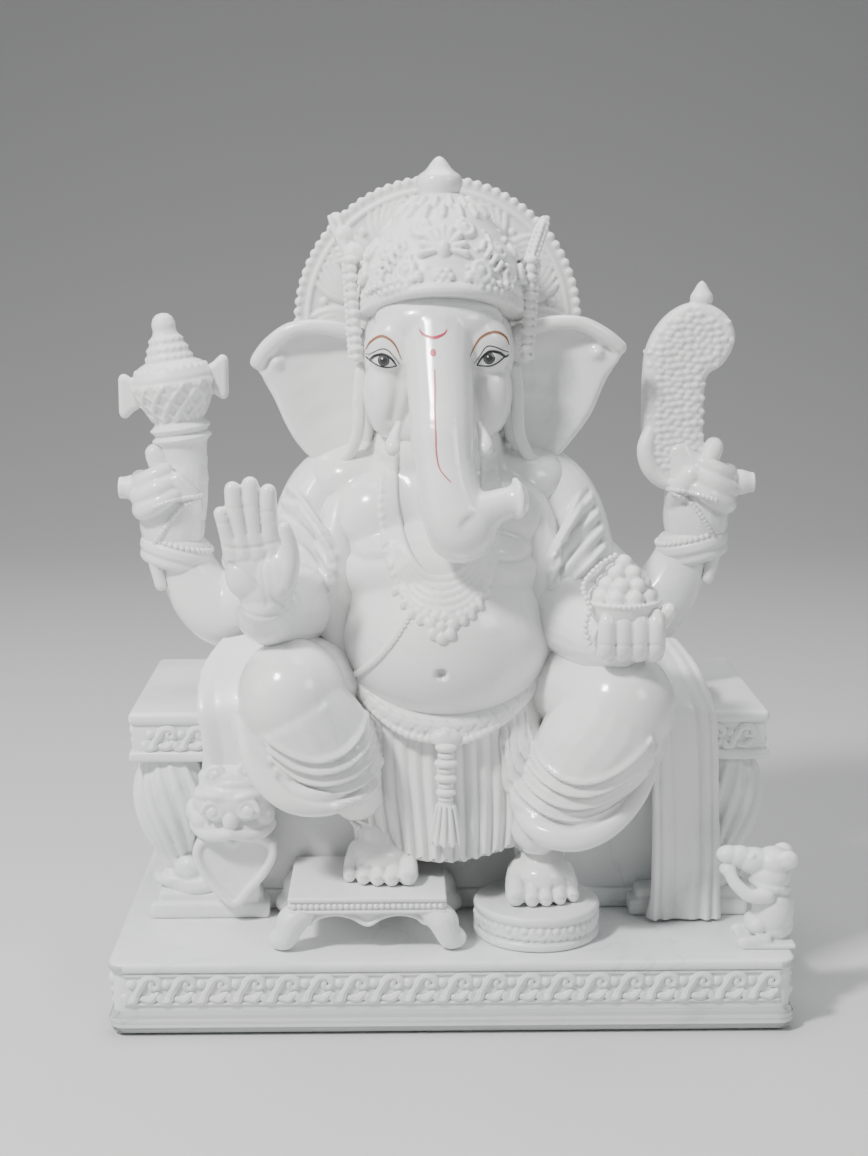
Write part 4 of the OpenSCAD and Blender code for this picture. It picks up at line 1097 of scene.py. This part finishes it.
finial = {"at": (1, -6, 366), "profile": [(0, -3), (14.6, -3), (15.4, 0), (15.2, 2), (14.4, 3), (16.2, 6),
                                          (16.8, 9.5), (16.4, 13), (15, 15.4), (11.5, 17.4), (9.2, 19.4),
                                          (7.4, 21.8), (5.4, 24.6), (3.2, 27.2), (0, 28.6)]}
knob = addTurned(finial["at"], finial["profile"], 56)
select([knob])
modify("SUBSURF", levels=1, render_levels=1)
finishPiece(joined("crownFinial", [knob]), polished, ("crown_finial",), angle=60)

# halo
halo = {"centre": (1, 276), "radius": 107.5, "front": 43.0, "back": 63.5, "bumps": 88, "fans": 9}
hx, hz = halo["centre"]


def haloRing(radius, y, thick):
    return addRod([(x, y, z, thick) for x, z in circle((hx, hz), radius, 72)], 1, 8, closed=True)


disc = addPlate(circle((hx, hz), halo["radius"] - 2.5, 72), (halo["front"] + halo["back"]) / 2,
                halo["back"] - halo["front"] - 3, bevel=3, steps=1)
parts = [disc]
for y in (halo["front"] + 3.0, halo["back"] - 3.2):
    for x, z in circle((hx, hz), halo["radius"] - 3.0, halo["bumps"]):    # the scalloped rim
        parts.append(addBall((x, y, z), (3.5, 3.4, 3.5), rings=6))
parts += [haloRing(halo["radius"] - 10.5, halo["front"] + 1.4, 2.0), haloRing(62, halo["front"] + 1.0, 2.2)]
for fan in range(halo["fans"] * 2):                       # leaves that swirl outwards, in fans that lean both ways
    lean = 1 if fan % 2 else -1
    mid = 2 * pi * fan / (halo["fans"] * 2)
    for k in range(5):
        t = (k - 2) / 2
        pts = []
        for i in range(6):
            u = i / 5
            r = 64 + (halo["radius"] - 13 - 64) * u
            a = mid + lean * (0.16 * u * u - 0.05) + t * (0.055 + 0.09 * u)
            pts.append((hx + r * cos(a), halo["front"] + 1.8 - 0.9 * sin(pi * u), hz + r * sin(a),
                        1.9 + 1.6 * sin(pi * min(1, u * 1.1))))
        parts.append(addRod(pts, 2, 8))
    a = mid + pi / (halo["fans"] * 2)
    parts.append(addBall((hx + 86 * cos(a), halo["front"] + 1.5, hz + 86 * sin(a)), (3.0, 2.6, 3.0), rings=6))
parts += [haloRing(radius, halo["back"] - 1.8, 2.2) for radius in (98, 70, 40)]   # plain rings on the back
for (x, z), (outX, outZ) in zip(circle((hx, hz), 44, 24), circle((hx, hz), 66, 24)):     # and flutes
    parts.append(addRod([(x, halo["back"] - 1.6, z, 2.4), (outX, halo["back"] - 1.2, outZ, 3.4)], 3, 8))
nimbus = carved("haloDisc", parts, voxel=1.1, passes=1)
finishPiece(nimbus, relief, ("halo",))
print("crown and halo")

# ear strings, plumes
for name, side in sides.items():
    path = [(side * (64 - 0.5 * i) + 2, -22 - 0.8 * i, 322 - 7.6 * i) for i in range(10)]
    parts = [addRod([(*p, 2.2) for p in path], 3, 8)]
    for i, p in enumerate(evenPoints(path, 6.2)):
        wide = 5.0 if i % 2 == 0 else 4.2
        parts.append(addBall(p, (wide, wide, 3.4), rings=8))
    parts += addBeads([(x + side * 5.2, y + 2, z) for x, y, z in path], 2.1, 4.1)
    string = carved(name + "BeadString", parts, voxel=0.9, passes=1)
    finishPiece(string, relief, ("bead_string_" + name,))

leftBuds = [((-60, -14, 325), (8.2, 7.5, 9.5)), ((-67, -9, 339), (7.4, 6.5, 7.6)), ((-72, -5, 349), (6, 4.8, 6.6))]
parts = [addBall(at, r, rings=9) for at, r in leftBuds]
parts.append(addRod([(-60, -12, 316, 6), (-64, -9, 332, 6), (-73, -4, 351, 4.6)], 4, 10))
parts += [addRod([(-66, -16, 328, 2), (-70 + s * 2.5, -12, 340, 2.2), (-74 + s * 3, -8, 352, 1.8)], 4, 8)
          for s in (-1, 1)]
finishPiece(carved("leftPlume", parts, voxel=0.8, passes=2), relief, ("plume_left",))
parts = [addRod([(64, -14, 316, 5), (68, -10, 328, 5), (73, -6, 340, 5), (76, -4, 349, 4.2)], 4, 10)]
for s in (-1, 0, 1):
    parts += addBeads([(66 + s * 3.4, -18 - (s == 0) * 2, 322), (70 + s * 3.6, -14 - (s == 0) * 2, 334),
                       (74 + s * 3.4, -10 - (s == 0) * 2, 345), (76.5 + s * 1.6, -8, 351)], 2.1, 3.8)
finishPiece(carved("rightPlume", parts, voxel=0.8, passes=1), relief, ("plume_right",))
print("strings and plumes")


# necklace and sacred thread
necklace = {
    "inner": [(-30, 186), (-32, 160), (-28, 136), (-20, 118), (-10, 107), (0.6, 104), (12, 107), (22, 117),
              (30, 136), (33, 160), (32, 186)],
    "outer": [(-38, 186), (-41, 160), (-39, 134), (-33, 110), (-20, 88), (0.7, 80), (22, 86), (35, 108), (40, 134),
              (41, 160), (38, 186)],
    "pendant": (0.7, 74),
}
parts = []
for step, size in ((0.0, 2.1), (0.22, 1.8), (0.42, 2.4), (0.62, 1.8), (0.82, 2.3), (1.0, 3.1)):
    line = [(a[0] + (b[0] - a[0]) * step, a[1] + (b[1] - a[1]) * step)
            for a, b in zip(necklace["inner"], necklace["outer"])]
    path = frontPath(skin, line, 7, 0.5)
    parts.append(addRod([(*p, 2.9) for p in path[::2]], 1, 10))
    parts += addBeads(path, size * 1.15, size * 1.9)
px, pz = necklace["pendant"]
for k in range(7):
    a = 2 * pi * k / 7 + 0.22
    spot = frontPoint(skin, px + 7.4 * cos(a), pz + 7.4 * sin(a), 0.9)
    parts.append(addBall(spot, (4.2, 3.0, 4.2), rings=8))
parts.append(addBall(frontPoint(skin, px, pz, 1.6), (3.4, 2.6, 3.4), rings=8))
for k in range(5):                                       # drops along the lower edge
    for s in (-1, 1):
        x, z = s * (9 + 5.6 * k), 77 + 1.08 * k * k
        parts.append(addBall(frontPoint(skin, x + 0.7, z, 0.9), (3.2, 2.6, 4.0), rings=7))
neckPiece = carved("necklaceBand", parts, voxel=0.95, passes=1)
finishPiece(neckPiece, relief, ("necklace",))

thread = {"line": [(-16, 92), (-30, 68), (-45, 48), (-62, 31), (-74, 24)], "width": 4.2}
path = frontPath(skin, thread["line"], 8, 0.2)
parts = [addRod([(*p, 2.2) for p in path], 1, 8)]
for s in (-1, 1):
    side = [(p[0] + s * thread["width"] * 0.62, p[2] + s * thread["width"] * 0.62) for p in path]
    edge = frontPath(skin, side[::3], 3, 0.2)
    parts.append(addRod([(*p, 1.2) for p in edge], 1, 8))
for p in evenPoints(path, 3.4):
    a, b = (frontPoint(skin, p.x + s * 3.6, p.z + s * 1.2, 1.0) for s in (-1, 1))
    parts.append(addRod([(*a, 1.0), (*b, 1.0)], 1, 6))
finishPiece(carved("sacredThread", parts, voxel=0.85, passes=1), relief, ("sacred_thread",))
print("necklace and thread")

# plinth and seat, with bands of running scrolls
home = ground


def scrollUnit(length, height, thick):
    h = height / 2
    pts = [(-0.50, -0.62), (-0.40, -0.95), (-0.22, -0.86), (-0.16, -0.30), (-0.02, 0.34), (0.12, 0.86), (0.34, 0.95),
           (0.50, 0.55), (0.42, 0.12), (0.27, 0.20), (0.27, 0.50)]
    bar = addRod([(x * length, 0, z * h, thick * (1 if i < 8 else 0.8)) for i, (x, z) in enumerate(pts)], 3, 8)
    under = addRod([(0.02 * length, 0, -0.75 * h, thick * 0.8), (0.24 * length, 0, -0.85 * h, thick),
                    (0.42 * length, 0, -0.42 * h, thick * 0.9)], 3, 8)
    eye = addBall((-0.30 * length, 0, 0.42 * h), (thick * 1.25, thick, thick * 1.1), rings=6)
    return joined("scroll", [bar, under, eye])


# the front, back, right and left of a block, clear of its corners, with the turn of each
def sideRuns(low, high, z, clear=9):
    x0, y0, x1, y1 = low[0] + clear, low[1] + clear, high[0] - clear, high[1] - clear
    return [(Vector((x0, low[1], z)), Vector((x1, low[1], z)), 0),
            (Vector((x1, high[1], z)), Vector((x0, high[1], z)), 180),
            (Vector((high[0], y0, z)), Vector((high[0], y1, z)), 90),
            (Vector((low[0], y1, z)), Vector((low[0], y0, z)), -90)]


# sets a band of units along each side of a block
def scrollBand(low, high, z, height, unitLength, thick):
    unit = scrollUnit(unitLength, height, thick)
    out = []
    for start, end, turn in sideRuns(low, high, z):
        count = max(2, round((end - start).length / unitLength))
        for k in range(count):
            one = duplicateOf(unit)
            one.location = place(start.lerp(end, (k + 0.5) / count))
            one.rotation_euler = (0, 0, radians(turn))
            out.append(one)
    bpy.data.objects.remove(unit)
    return out


plinth = {"half": (240, 135), "band": (22.5, 46.5), "inset": 3.2, "top": 54}
hw, hd = plinth["half"]
lo, hi = plinth["band"]
inset = plinth["inset"]
parts = [addBox((-hw, -hd, 0), (hw, hd, lo - 1), bevel=3.4, segments=4, corner=11),
         addBox((-hw + inset, -hd + inset, 8), (hw - inset, hd - inset, hi + 3), bevel=1, corner=8),
         addBox((-hw, -hd, hi), (hw, hd, plinth["top"]), bevel=3.2, segments=5, corner=11)]
thick = 1.5
for z in (lo + 1.4, hi - 1.6):                            # thin rolls above and below the band
    for a, b, _ in sideRuns((-hw + inset, -hd + inset), (hw - inset, hd - inset), z):
        parts.append(addRod([(*p, thick) for p in (a, (a + b) / 2, b)], 1, 8))
parts += scrollBand((-hw + inset, -hd + inset), (hw - inset, hd - inset), (lo + hi) / 2, hi - lo - 6, 24, 3.1)
finishPiece(joined("plinthBlock", parts), base, ("plinth",))

slab = {"low": (-233, -50, 174), "high": (233, 130, 211), "inset": 2.6}
(x0, y0, z0), (x1, y1, z1) = slab["low"], slab["high"]
inset = slab["inset"]
parts = [addBox((x0, y0, z0), (x1, y1, z0 + 8), bevel=2.6, segments=3),
         addBox((x0 + inset, y0 + inset, z0 + 3), (x1 - inset, y1 - inset, z1 - 4), bevel=1),
         addBox((x0, y0, z1 - 10), (x1, y1, z1), bevel=4.2, segments=5)]
parts += scrollBand((x0 + inset, y0 + inset), (x1 - inset, y1 - inset), z0 + 17.5, 15, 22, 3.0)
finishPiece(joined("seatSlab", parts), base, ("seat_slab",))

core = addBox((-198, -25, plinth["top"]), (198, 124, 176), bevel=3)
skirting = addBox((-196, -29.5, plinth["top"]), (196, 128, 69), bevel=2.5)
finishPiece(joined("seatCore", [core, skirting]), base, ("seat_core",))
print("plinth and seat")

# columns and their feet
column = {"y": -22, "x": 202, "ribs": 15,
          "profile": [(0, 70), (12, 70), (12, 78), (11.5, 90), (14, 99), (19.5, 109), (25, 121), (28.6, 135),
                      (29.4, 149), (27.5, 161), (24, 170), (22, 175), (0, 175)]}
for name, side in sides.items():
    cx = side * column["x"]
    parts = [addTurned((cx, column["y"], 0), column["profile"], 48)]
    for k in range(column["ribs"]):
        path = []
        for z in (90, 99, 110, 124, 140, 155, 170):
            r = radiusAt(column["profile"], z) - 0.6
            a = 2 * pi * k / column["ribs"] + side * (z - 90) / 90
            path.append((cx + r * sin(a), column["y"] - r * cos(a), z, 2.0 + 2.2 * sin(pi * (z - 84) / 92)))
        parts.append(addRod(path, 3, 8))
    parts.append(addRod([(x, y, 80, 4.2) for x, y in circle((cx, column["y"]), 15.5, 20)], 1, 10, closed=True))
    parts += [addBall((side * 192, -34, 90), (12, 11, 11), rings=10),
              addBall((side * 180, -34, 79), (17, 11, 10), rings=10),
              addRod([(side * 206, -30, 80, 9), (side * 190, -38, 77, 8), (side * 174, -38, 79, 7)], 4, 12)]
    finishPiece(carved(name + "Column", parts, voxel=1.2, passes=1), base, ("column_" + name,))
    x0, x1 = (-221, -133) if side < 0 else (133, 221)
    foot = addBox((x0, -48, plinth["top"]), (x1, 8, 66), bevel=2.4)
    roll = addBox((x0 + 5, -44, 62), (x1 - 5, 5, 74), bevel=4.5, segments=4)
    finishPiece(carved(name + "ColumnFoot", [foot, roll], voxel=1.3, passes=3), base,
                ("column_foot_" + name,))
print("columns")

# lion mask over a shield
shield = {"middle": (-157, 99),
          "outline": [(-157, 117), (-165, 122), (-176, 122), (-185, 116), (-187, 106), (-182, 93), (-172, 79),
                      (-158, 66), (-146, 78), (-134, 92), (-127, 106), (-128, 116), (-138, 122), (-149, 122)]}
parts = [addPlate(shield["outline"], -49, 18, bevel=4)]
mid = shield["middle"]
rim = [(mid[0] + (x - mid[0]) * 0.9, -57, mid[1] + (z - mid[1]) * 0.9, 3.6) for x, z in shield["outline"]]
parts += [addRod(rim, 4, 10, closed=True), addBox((-172, -46, plinth["top"]), (-140, -38, 92), bevel=2)]
finishPiece(carved("heartShield", parts, voxel=1.0, passes=3), base, ("shield",))


def spiralOn(at, size, hand, thick, turns=1.3, y=0.0):
    pts = [(at[0] + hand * size * (1 - 0.8 * t / 12) * cos(turns * 2 * pi * t / 12), at[1] + y * t / 12,
            at[2] + size * (1 - 0.8 * t / 12) * sin(turns * 2 * pi * t / 12),
            thick * (1 - 0.25 * t / 12)) for t in range(13)]
    return addRod(pts, 2, 8)


mask = {"forms": [((-158, -54, 148), (29, 20, 20)), ((-158, -52, 164), (25, 16, 12)),
                  ((-179, -54, 134), (10, 11, 10)), ((-137, -54, 137), (10, 11, 10)),
                  ((-158, -58, 130), (24, 12, 10)), ((-158, -71, 137), (6, 5, 7)), ((-187, -48, 138), (6, 8, 9))],
        "eyes": [(-170, -70, 143), (-146, -70, 144)]}
parts = [addBall(at, r, rings=12) for at, r in mask["forms"]]
for s, eye in zip((-1, 1), mask["eyes"]):
    parts += [spiralOn((eye[0], eye[1] - 1, eye[2]), 8.2, s, 2.4, y=-2),
              addBall((eye[0], eye[1] - 1, eye[2]), (4, 4, 4), rings=8),
              addRod([(-158, -71, 127, 4.4), (-158 + s * 12, -67, 124.5, 4.8), (-158 + s * 22, -60, 125, 4.8),
                      (-158 + s * 28, -54, 129, 4)], 5, 10),
              addRod([(-158, -70, 151, 2.6), (-158 + s * 12, -71, 155, 3.2), (-158 + s * 24, -62, 153, 2.8)], 5, 10)]
parts += [spiralOn((-146, -62, 170), 8.0, 1, 3.0, y=-3), spiralOn((-168, -62, 168), 6.6, -1, 2.8, y=-3),
          addRod([(-178, -58, 160, 4), (-158, -66, 162, 4), (-137, -60, 162, 4)], 5, 10)]
finishPiece(carved("lionMask", parts, voxel=1.0, passes=1), base, ("lion_mask",))
print("mask and shield")

# footstool and lotus stool
stool = {"low": (-115, -118, 83), "high": (-4, -27, 95)}
(x0, y0, z0), (x1, y1, z1) = stool["low"], stool["high"]
parts = [addBox((x0, y0, z1 - 3.6), (x1, y1, z1), bevel=1.7, segments=4),
         addBox((x0 + 2, y0 + 2, z0 + 0.5), (x1 - 2, y1 - 2, z1 - 1), bevel=0.8),
         addBox((x0 + 0.4, y0 + 0.4, z0), (x1 - 0.4, y1 - 0.4, z0 + 2.6), bevel=1.2)]
band = []
for start, end in (((x0 + 4, y0 + 1.8), (x1 - 4, y0 + 1.8)), ((x1 - 1.8, y0 + 4), (x1 - 1.8, y1 - 4)),
                   ((x0 + 1.8, y0 + 4), (x0 + 1.8, y1 - 4))):
    band += addBeads([(*start, z0 + 5.4), ((start[0] + end[0]) / 2, (start[1] + end[1]) / 2, z0 + 5.4),
                      (*end, z0 + 5.4)], 2.1, 4.2)
finishPiece(joined("footstoolTop", parts + band), base, ("footstool_top",))

middleX = (x0 + x1) / 2
apron = [(x0 + 7, 84), (x0 + 8, 72), (x0 + 16, 74), (x0 + 22, 78.5), (x0 + 34, 80.5), (x0 + 45, 78), (middleX, 72.5),
         (x1 - 45, 78), (x1 - 34, 80.5),
         (x1 - 22, 78.5), (x1 - 16, 74), (x1 - 8, 72), (x1 - 7, 84)]
sheet = addPlate(apron, y0 + 9, 7, bevel=1.2, steps=3)
edge = addRod([(x, y0 + 5.2, z + 0.8, 1.5) for x, z in apron[1:-1]], 4, 8)
ends = [addBox((x, y0 + 10, 74), (x + 7, y1 - 4, 84), bevel=1.2) for x in (x0 + 6, x1 - 13)]
finishPiece(carved("footstoolApron", [sheet, edge] + ends, voxel=0.9, passes=1), base,
            ("footstool_apron",))
parts = []
for side in (-1, 1):
    corner = middleX + side * (x1 - middleX)
    for y, out in ((y0 + 9, -1), (y1 - 9, 1)):
        leg = [(corner - side * 11, y, 82, 9), (corner - side * 3, y + out * 1, 76, 11),
               (corner, y + out * 2, 69, 9.5), (corner + side * 3, y + out * 1, 63.5, 9),
               (corner + side * 6, y, 62.4, 8.2)]
        if side < 0:
            leg = [(max(p[0], -121), *p[1:]) for p in leg]
        parts.append(addRod(leg, 5, 14))
        parts.append(addBall((corner - side, y + 5 * out, 75), (7, 4, 6), rings=9))
        parts.append(addRod([(corner - side * 8, y + out * 6, 82, 2.4), (corner + side * 2, y + out * 8, 74, 2.6),
                             (corner + side * 4, y + out * 7, 66, 2.0)], 4, 8))
finishPiece(carved("footstoolLegs", parts, voxel=1.0, passes=1), base, ("footstool_legs",))

lotus = {"centre": (62, -75), "radius": 45.5,
         "profile": [(0, 54), (0.95, 54), (1.0, 55.5), (1.0, 59), (0.955, 61), (0.925, 63), (0.925, 70), (0.95, 72),
                     (0.99, 73.6), (1.0, 76), (0.99, 78), (0.965, 79), (0, 79)]}
parts = [addTurned((*lotus["centre"], 0), [(r * lotus["radius"], z) for r, z in lotus["profile"]], 96)]


def onDrum(a, z, share=0.95):
    r = lotus["radius"] * share
    return (lotus["centre"][0] + r * cos(a), lotus["centre"][1] + r * sin(a), z)


for k in range(24):
    a = 2 * pi * k / 24
    scallop = [(*onDrum(a + 0.135 * t, 71.5 - 7.5 * sqrt(max(0, 1 - t * t)), 0.955), 2.0)
               for t in (-0.97, -0.7, 0, 0.7, 0.97)]
    parts += [addRod(scallop, 3, 8), addBall(onDrum(a, 69, 0.945), (3.0, 3.0, 3.0), rings=6),
              addBall(onDrum(a + 0.13, 64.3, 0.945), (2.4, 2.4, 2.4), rings=6)]
finishPiece(carved("lotusStool", parts, voxel=1.0, passes=1), base, ("lotus_stool",))
print("stools")

# feet
feet = {"left": {"x": -51, "floor": 95, "big": 1, "up": 62}, "right": {"x": 66, "floor": 79, "big": -1, "up": 64}}
for name, foot in feet.items():
    cx, z0, big = foot["x"], foot["floor"], foot["big"]
    parts = [addRod([(cx, -40, z0 + foot["up"] + 8, 19), (cx, -46, z0 + 42, 19.5), (cx, -50, z0 + 28, 19.5),
                     (cx, -54, z0 + 16, 18)], 5, 20),
             addBall((cx, -50, z0 + 14), (19, 19, 14), rings=14),
             addBall((cx, -66, z0 + 15), (22.5, 24, 16), rings=14),
             addRod([(cx, -52, z0 + 32, 17), (cx, -66, z0 + 22, 16), (cx, -80, z0 + 12, 11)], 5, 16)]
    toes = []
    for k, (r, y) in enumerate(((4.8, -85), (5.2, -90.5), (5.5, -93), (5.7, -94), (7.4, -92))):
        x = cx - big * (21.5 - 10 * k)
        if k == 4:
            x += big * 1.6
        toes.append((x, y, r))
        parts.append(addRod([(x * 0.75 + cx * 0.25, -66, z0 + 19, r + 2),
                             (x * 0.92 + cx * 0.08, -76, z0 + 13, r + 1), (x, y + 7, z0 + r + 3, r),
                             (x, y, z0 + r, r)], 4, 12))
    skinFoot = carved(name + "Foot", parts, voxel=0.95, passes=2)
    for a, b in zip(toes[:-1], toes[1:]):
        stroke(skinFoot, [((a[0] + b[0]) / 2, -98, z0 + 3), ((a[0] + b[0]) / 2, -90, z0 + 11),
                          ((a[0] + b[0]) / 2, -82, z0 + 17)], width=1.3, depth=-1.0)
    softened(skinFoot, 1)
    extra = [addBall((x, y - r + 0.9, z0 + r + 2.4), (r * 0.55, 1.0, r * 0.42), rings=7) for x, y, r in toes]
    ring = [(x, y, z0 + 37 + 5 * (y + 49) / 21) for x, y in circle((cx, -49), 20.6, 20, 21 / 20.6)]
    extra += addBeads(ring, 2.3, 4.2, closed=True)
    extra.append(addRod([(x, y, z + 5, 1.6) for x, y, z in ring], 1, 8, closed=True))
    finishPiece(joined(name + "Foot", [skinFoot] + extra), polished, ("foot_" + name,))
print("feet")

# cloth that hangs over the seat
# a carved sheet between two edge lines, with pleats that run down it
def addDrape(leftEdge, rightEdge, pleats, depth, wall, columns=64, rows=60):
    deselectAll()
    bpy.ops.mesh.primitive_grid_add(x_subdivisions=columns, y_subdivisions=rows, size=2)
    o = bpy.context.object
    left, right = evenPoints(leftEdge, 1), evenPoints(rightEdge, 1)
    for v in o.data.vertices:
        s, t = (v.co.x + 1) / 2, (1 - v.co.y) / 2
        a = left[min(int(t * (len(left) - 1)), len(left) - 1)]
        b = right[min(int(t * (len(right) - 1)), len(right) - 1)]
        p = a.lerp(b, s)
        wave = abs(sin(pi * pleats * (s + 0.09 * sin(2 * pi * s)) + 0.35 * sin(4 * t + 3 * s)))
        ripple = wave ** 0.8 * depth * (0.75 + 0.4 * sin(9 * s + 1))
        v.co = place((p.x, p.y - ripple * (0.4 + 0.6 * t), p.z))
    softened(o, 2)
    outer = o.data.polygons[0].normal
    modify("SOLIDIFY", thickness=wall * mm, offset=-1 if outer.y < 0 or outer.z > 0 else 1)
    return o


drapes = {
    "right": ([(126, -8, 262), (134, -32, 246), (140, -55, 222), (144, -57, 200), (147, -58, 130), (146, -59, 55)],
              [(170, -4, 256), (183, -26, 240), (191, -50, 219), (194, -56, 200), (197, -57, 130), (200, -58, 55)],
              5, 5.0),
    "left": ([(-168, -4, 257), (-181, -28, 240), (-183, -52, 216), (-180, -57, 196), (-177, -58, 166)],
             [(-126, -8, 264), (-126, -34, 248), (-126, -55, 220), (-126, -58, 196), (-126, -58, 166)], 3, 2.2),
}
for name, (leftEdge, rightEdge, pleatCount, depth) in drapes.items():
    fall = carved(name + "Drape", [addDrape(leftEdge, rightEdge, pleatCount, depth, 6)], voxel=1.2, passes=2)
    finishPiece(fall, cloth, ("drape_" + name,))
print("drapes")

# mouse
mouse = {"forms": [((229, -98, 78), (15, 16, 20)), ((230, -94, 66), (14.8, 17, 12)), ((217, -98, 68), (9, 13, 8)),
                   ((226, -98, 103), (15, 14, 13)), ((228, -98, 113), (13, 13, 11)),
                   ((214, -98, 114), (13, 10.5, 9.5)), ((204, -98, 117), (10, 8.5, 8)),
                   ((196, -98, 118.5), (8.6, 7.4, 6.6)), ((236.5, -107, 117), (7.8, 5.2, 7)),
                   ((236.5, -89, 117), (7.8, 5.2, 7))],
         "arms": [[(222, -110, 92, 5.6), (210, -110, 92, 5), (200, -106, 100, 4.6), (197, -102, 107, 4.6)],
                  [(222, -88, 92, 5.6), (210, -87, 92, 5), (200, -92, 100, 4.6), (197, -96, 107, 4.6)]],
         "tail": [(238, -84, 62, 4.4), (240, -78, 60, 4), (232, -76, 59, 3.6), (220, -79, 58, 3.2)],
         "feet": [[(222, -110, 58.5, 4.6), (212, -112, 58.5, 4.4), (206, -112, 58.4, 4.4)],
                  [(222, -88, 58.5, 4.6), (212, -86, 58.5, 4.4), (206, -86, 58.4, 4.4)]]}
parts = [addBall(at, r, rings=12) for at, r in mouse["forms"]]
parts += [addRod(line, 5, 12) for line in mouse["arms"] + mouse["feet"] + [mouse["tail"]]]
parts.append(addBall((196, -99, 108), (6.4, 7, 5), rings=9))
collar = [(x, y, 97 - 3 * (x - 226) / 12.6, 2.7) for x, y in circle((226, -98), 12.6, 18, 12.8 / 12.6)]
parts.append(addRod(collar, 1, 10, closed=True))
parts += [addBall((212, y, 119.5), (2.2, 1.8, 2.2), rings=7) for y in (-106, -90)]
parts.append(addBox((204, -116, plinth["top"]), (243, -76, 57.5), bevel=1.2))
finishPiece(carved("mouseCarrier", parts, voxel=0.95, passes=2), base, ("mouse",))
print("mouse")


# floor, light and camera
studio = {
    "floorSize": 9.0, "floorTone": (0.62, 0.62, 0.62, 1), "floorRoughness": 0.8, "backHeight": 4.5, "backCurve": 2.6,
    "cameraAt": (-0.0355, -1.331, 0.540), "lookDown": 10.2, "lookRight": 1.07, "lens": 56.8,
    "lampsLookAt": (0, 0, 0.3),
    "world": (0.33, 0.34, 0.345, 1), "worldStrength": 0.38,
    # place, size, power and tone of each soft lamp
    "lamps": [((-1.15, -1.15, 1.95), 0.3, 70, (1.0, 0.995, 0.98)),
              ((1.4, -1.2, 1.4), 0.6, 10, (0.97, 0.985, 1.0)),
              ((0.0, 0.4, 2.3), 1.5, 34, (1.0, 1.0, 1.0)),
              ((-1.7, -0.6, 0.9), 1.2, 8, (0.985, 0.99, 1.0))],
}

bpy.ops.mesh.primitive_plane_add(size=studio["floorSize"])
floor = bpy.context.object
floor.name = "studioFloor"


def selectFarEdges():                                   # the edges on the floor, behind the piece
    bpy.ops.object.mode_set(mode="EDIT")
    bpy.ops.mesh.select_all(action="DESELECT")
    bpy.ops.object.mode_set(mode="OBJECT")
    for edge in floor.data.edges:
        ends = [floor.data.vertices[v].co for v in edge.vertices]
        edge.select = all(p.y > 1 and p.z < 0.1 for p in ends)
    bpy.ops.object.mode_set(mode="EDIT")


selectFarEdges()                                        # the far edge turns up into a backdrop
bpy.ops.mesh.select_mode(type="EDGE")
bpy.ops.mesh.extrude_region_move(TRANSFORM_OT_translate={"value": (0, 0, studio["backHeight"])})
selectFarEdges()
bpy.ops.mesh.bevel(offset=studio["backCurve"], segments=24, affect="EDGES")
bpy.ops.object.mode_set(mode="OBJECT")
bpy.ops.object.shade_smooth()
floorMaterial, floorTree, floorShader = newMaterial("paleFloor")
setInputs(floorTree, floorShader, {"Base Color": studio["floorTone"], "Roughness": studio["floorRoughness"]})
floor.data.materials.append(floorMaterial)

for number, (at, size, power, tone) in enumerate(studio["lamps"]):
    bpy.ops.object.light_add(type="AREA", location=at)
    lamp = bpy.context.object
    lamp.name = "lamp%d" % number
    lamp.data.size = size
    lamp.data.energy = power
    lamp.data.color = tone
    lamp.rotation_euler = (Vector(studio["lampsLookAt"]) - Vector(at)).to_track_quat("-Z", "Y").to_euler()

world = bpy.data.worlds.new("softWorld")
world.use_nodes = True
setInputs(world.node_tree, world.node_tree.nodes["Background"],
          {"Color": studio["world"], "Strength": studio["worldStrength"]})
bpy.context.scene.world = world

bpy.ops.object.camera_add(location=studio["cameraAt"])
camera = bpy.context.object
camera.rotation_euler = (radians(90 - studio["lookDown"]), 0, radians(-studio["lookRight"]))
camera.data.sensor_width = 36
camera.data.lens = studio["lens"]
bpy.context.scene.camera = camera
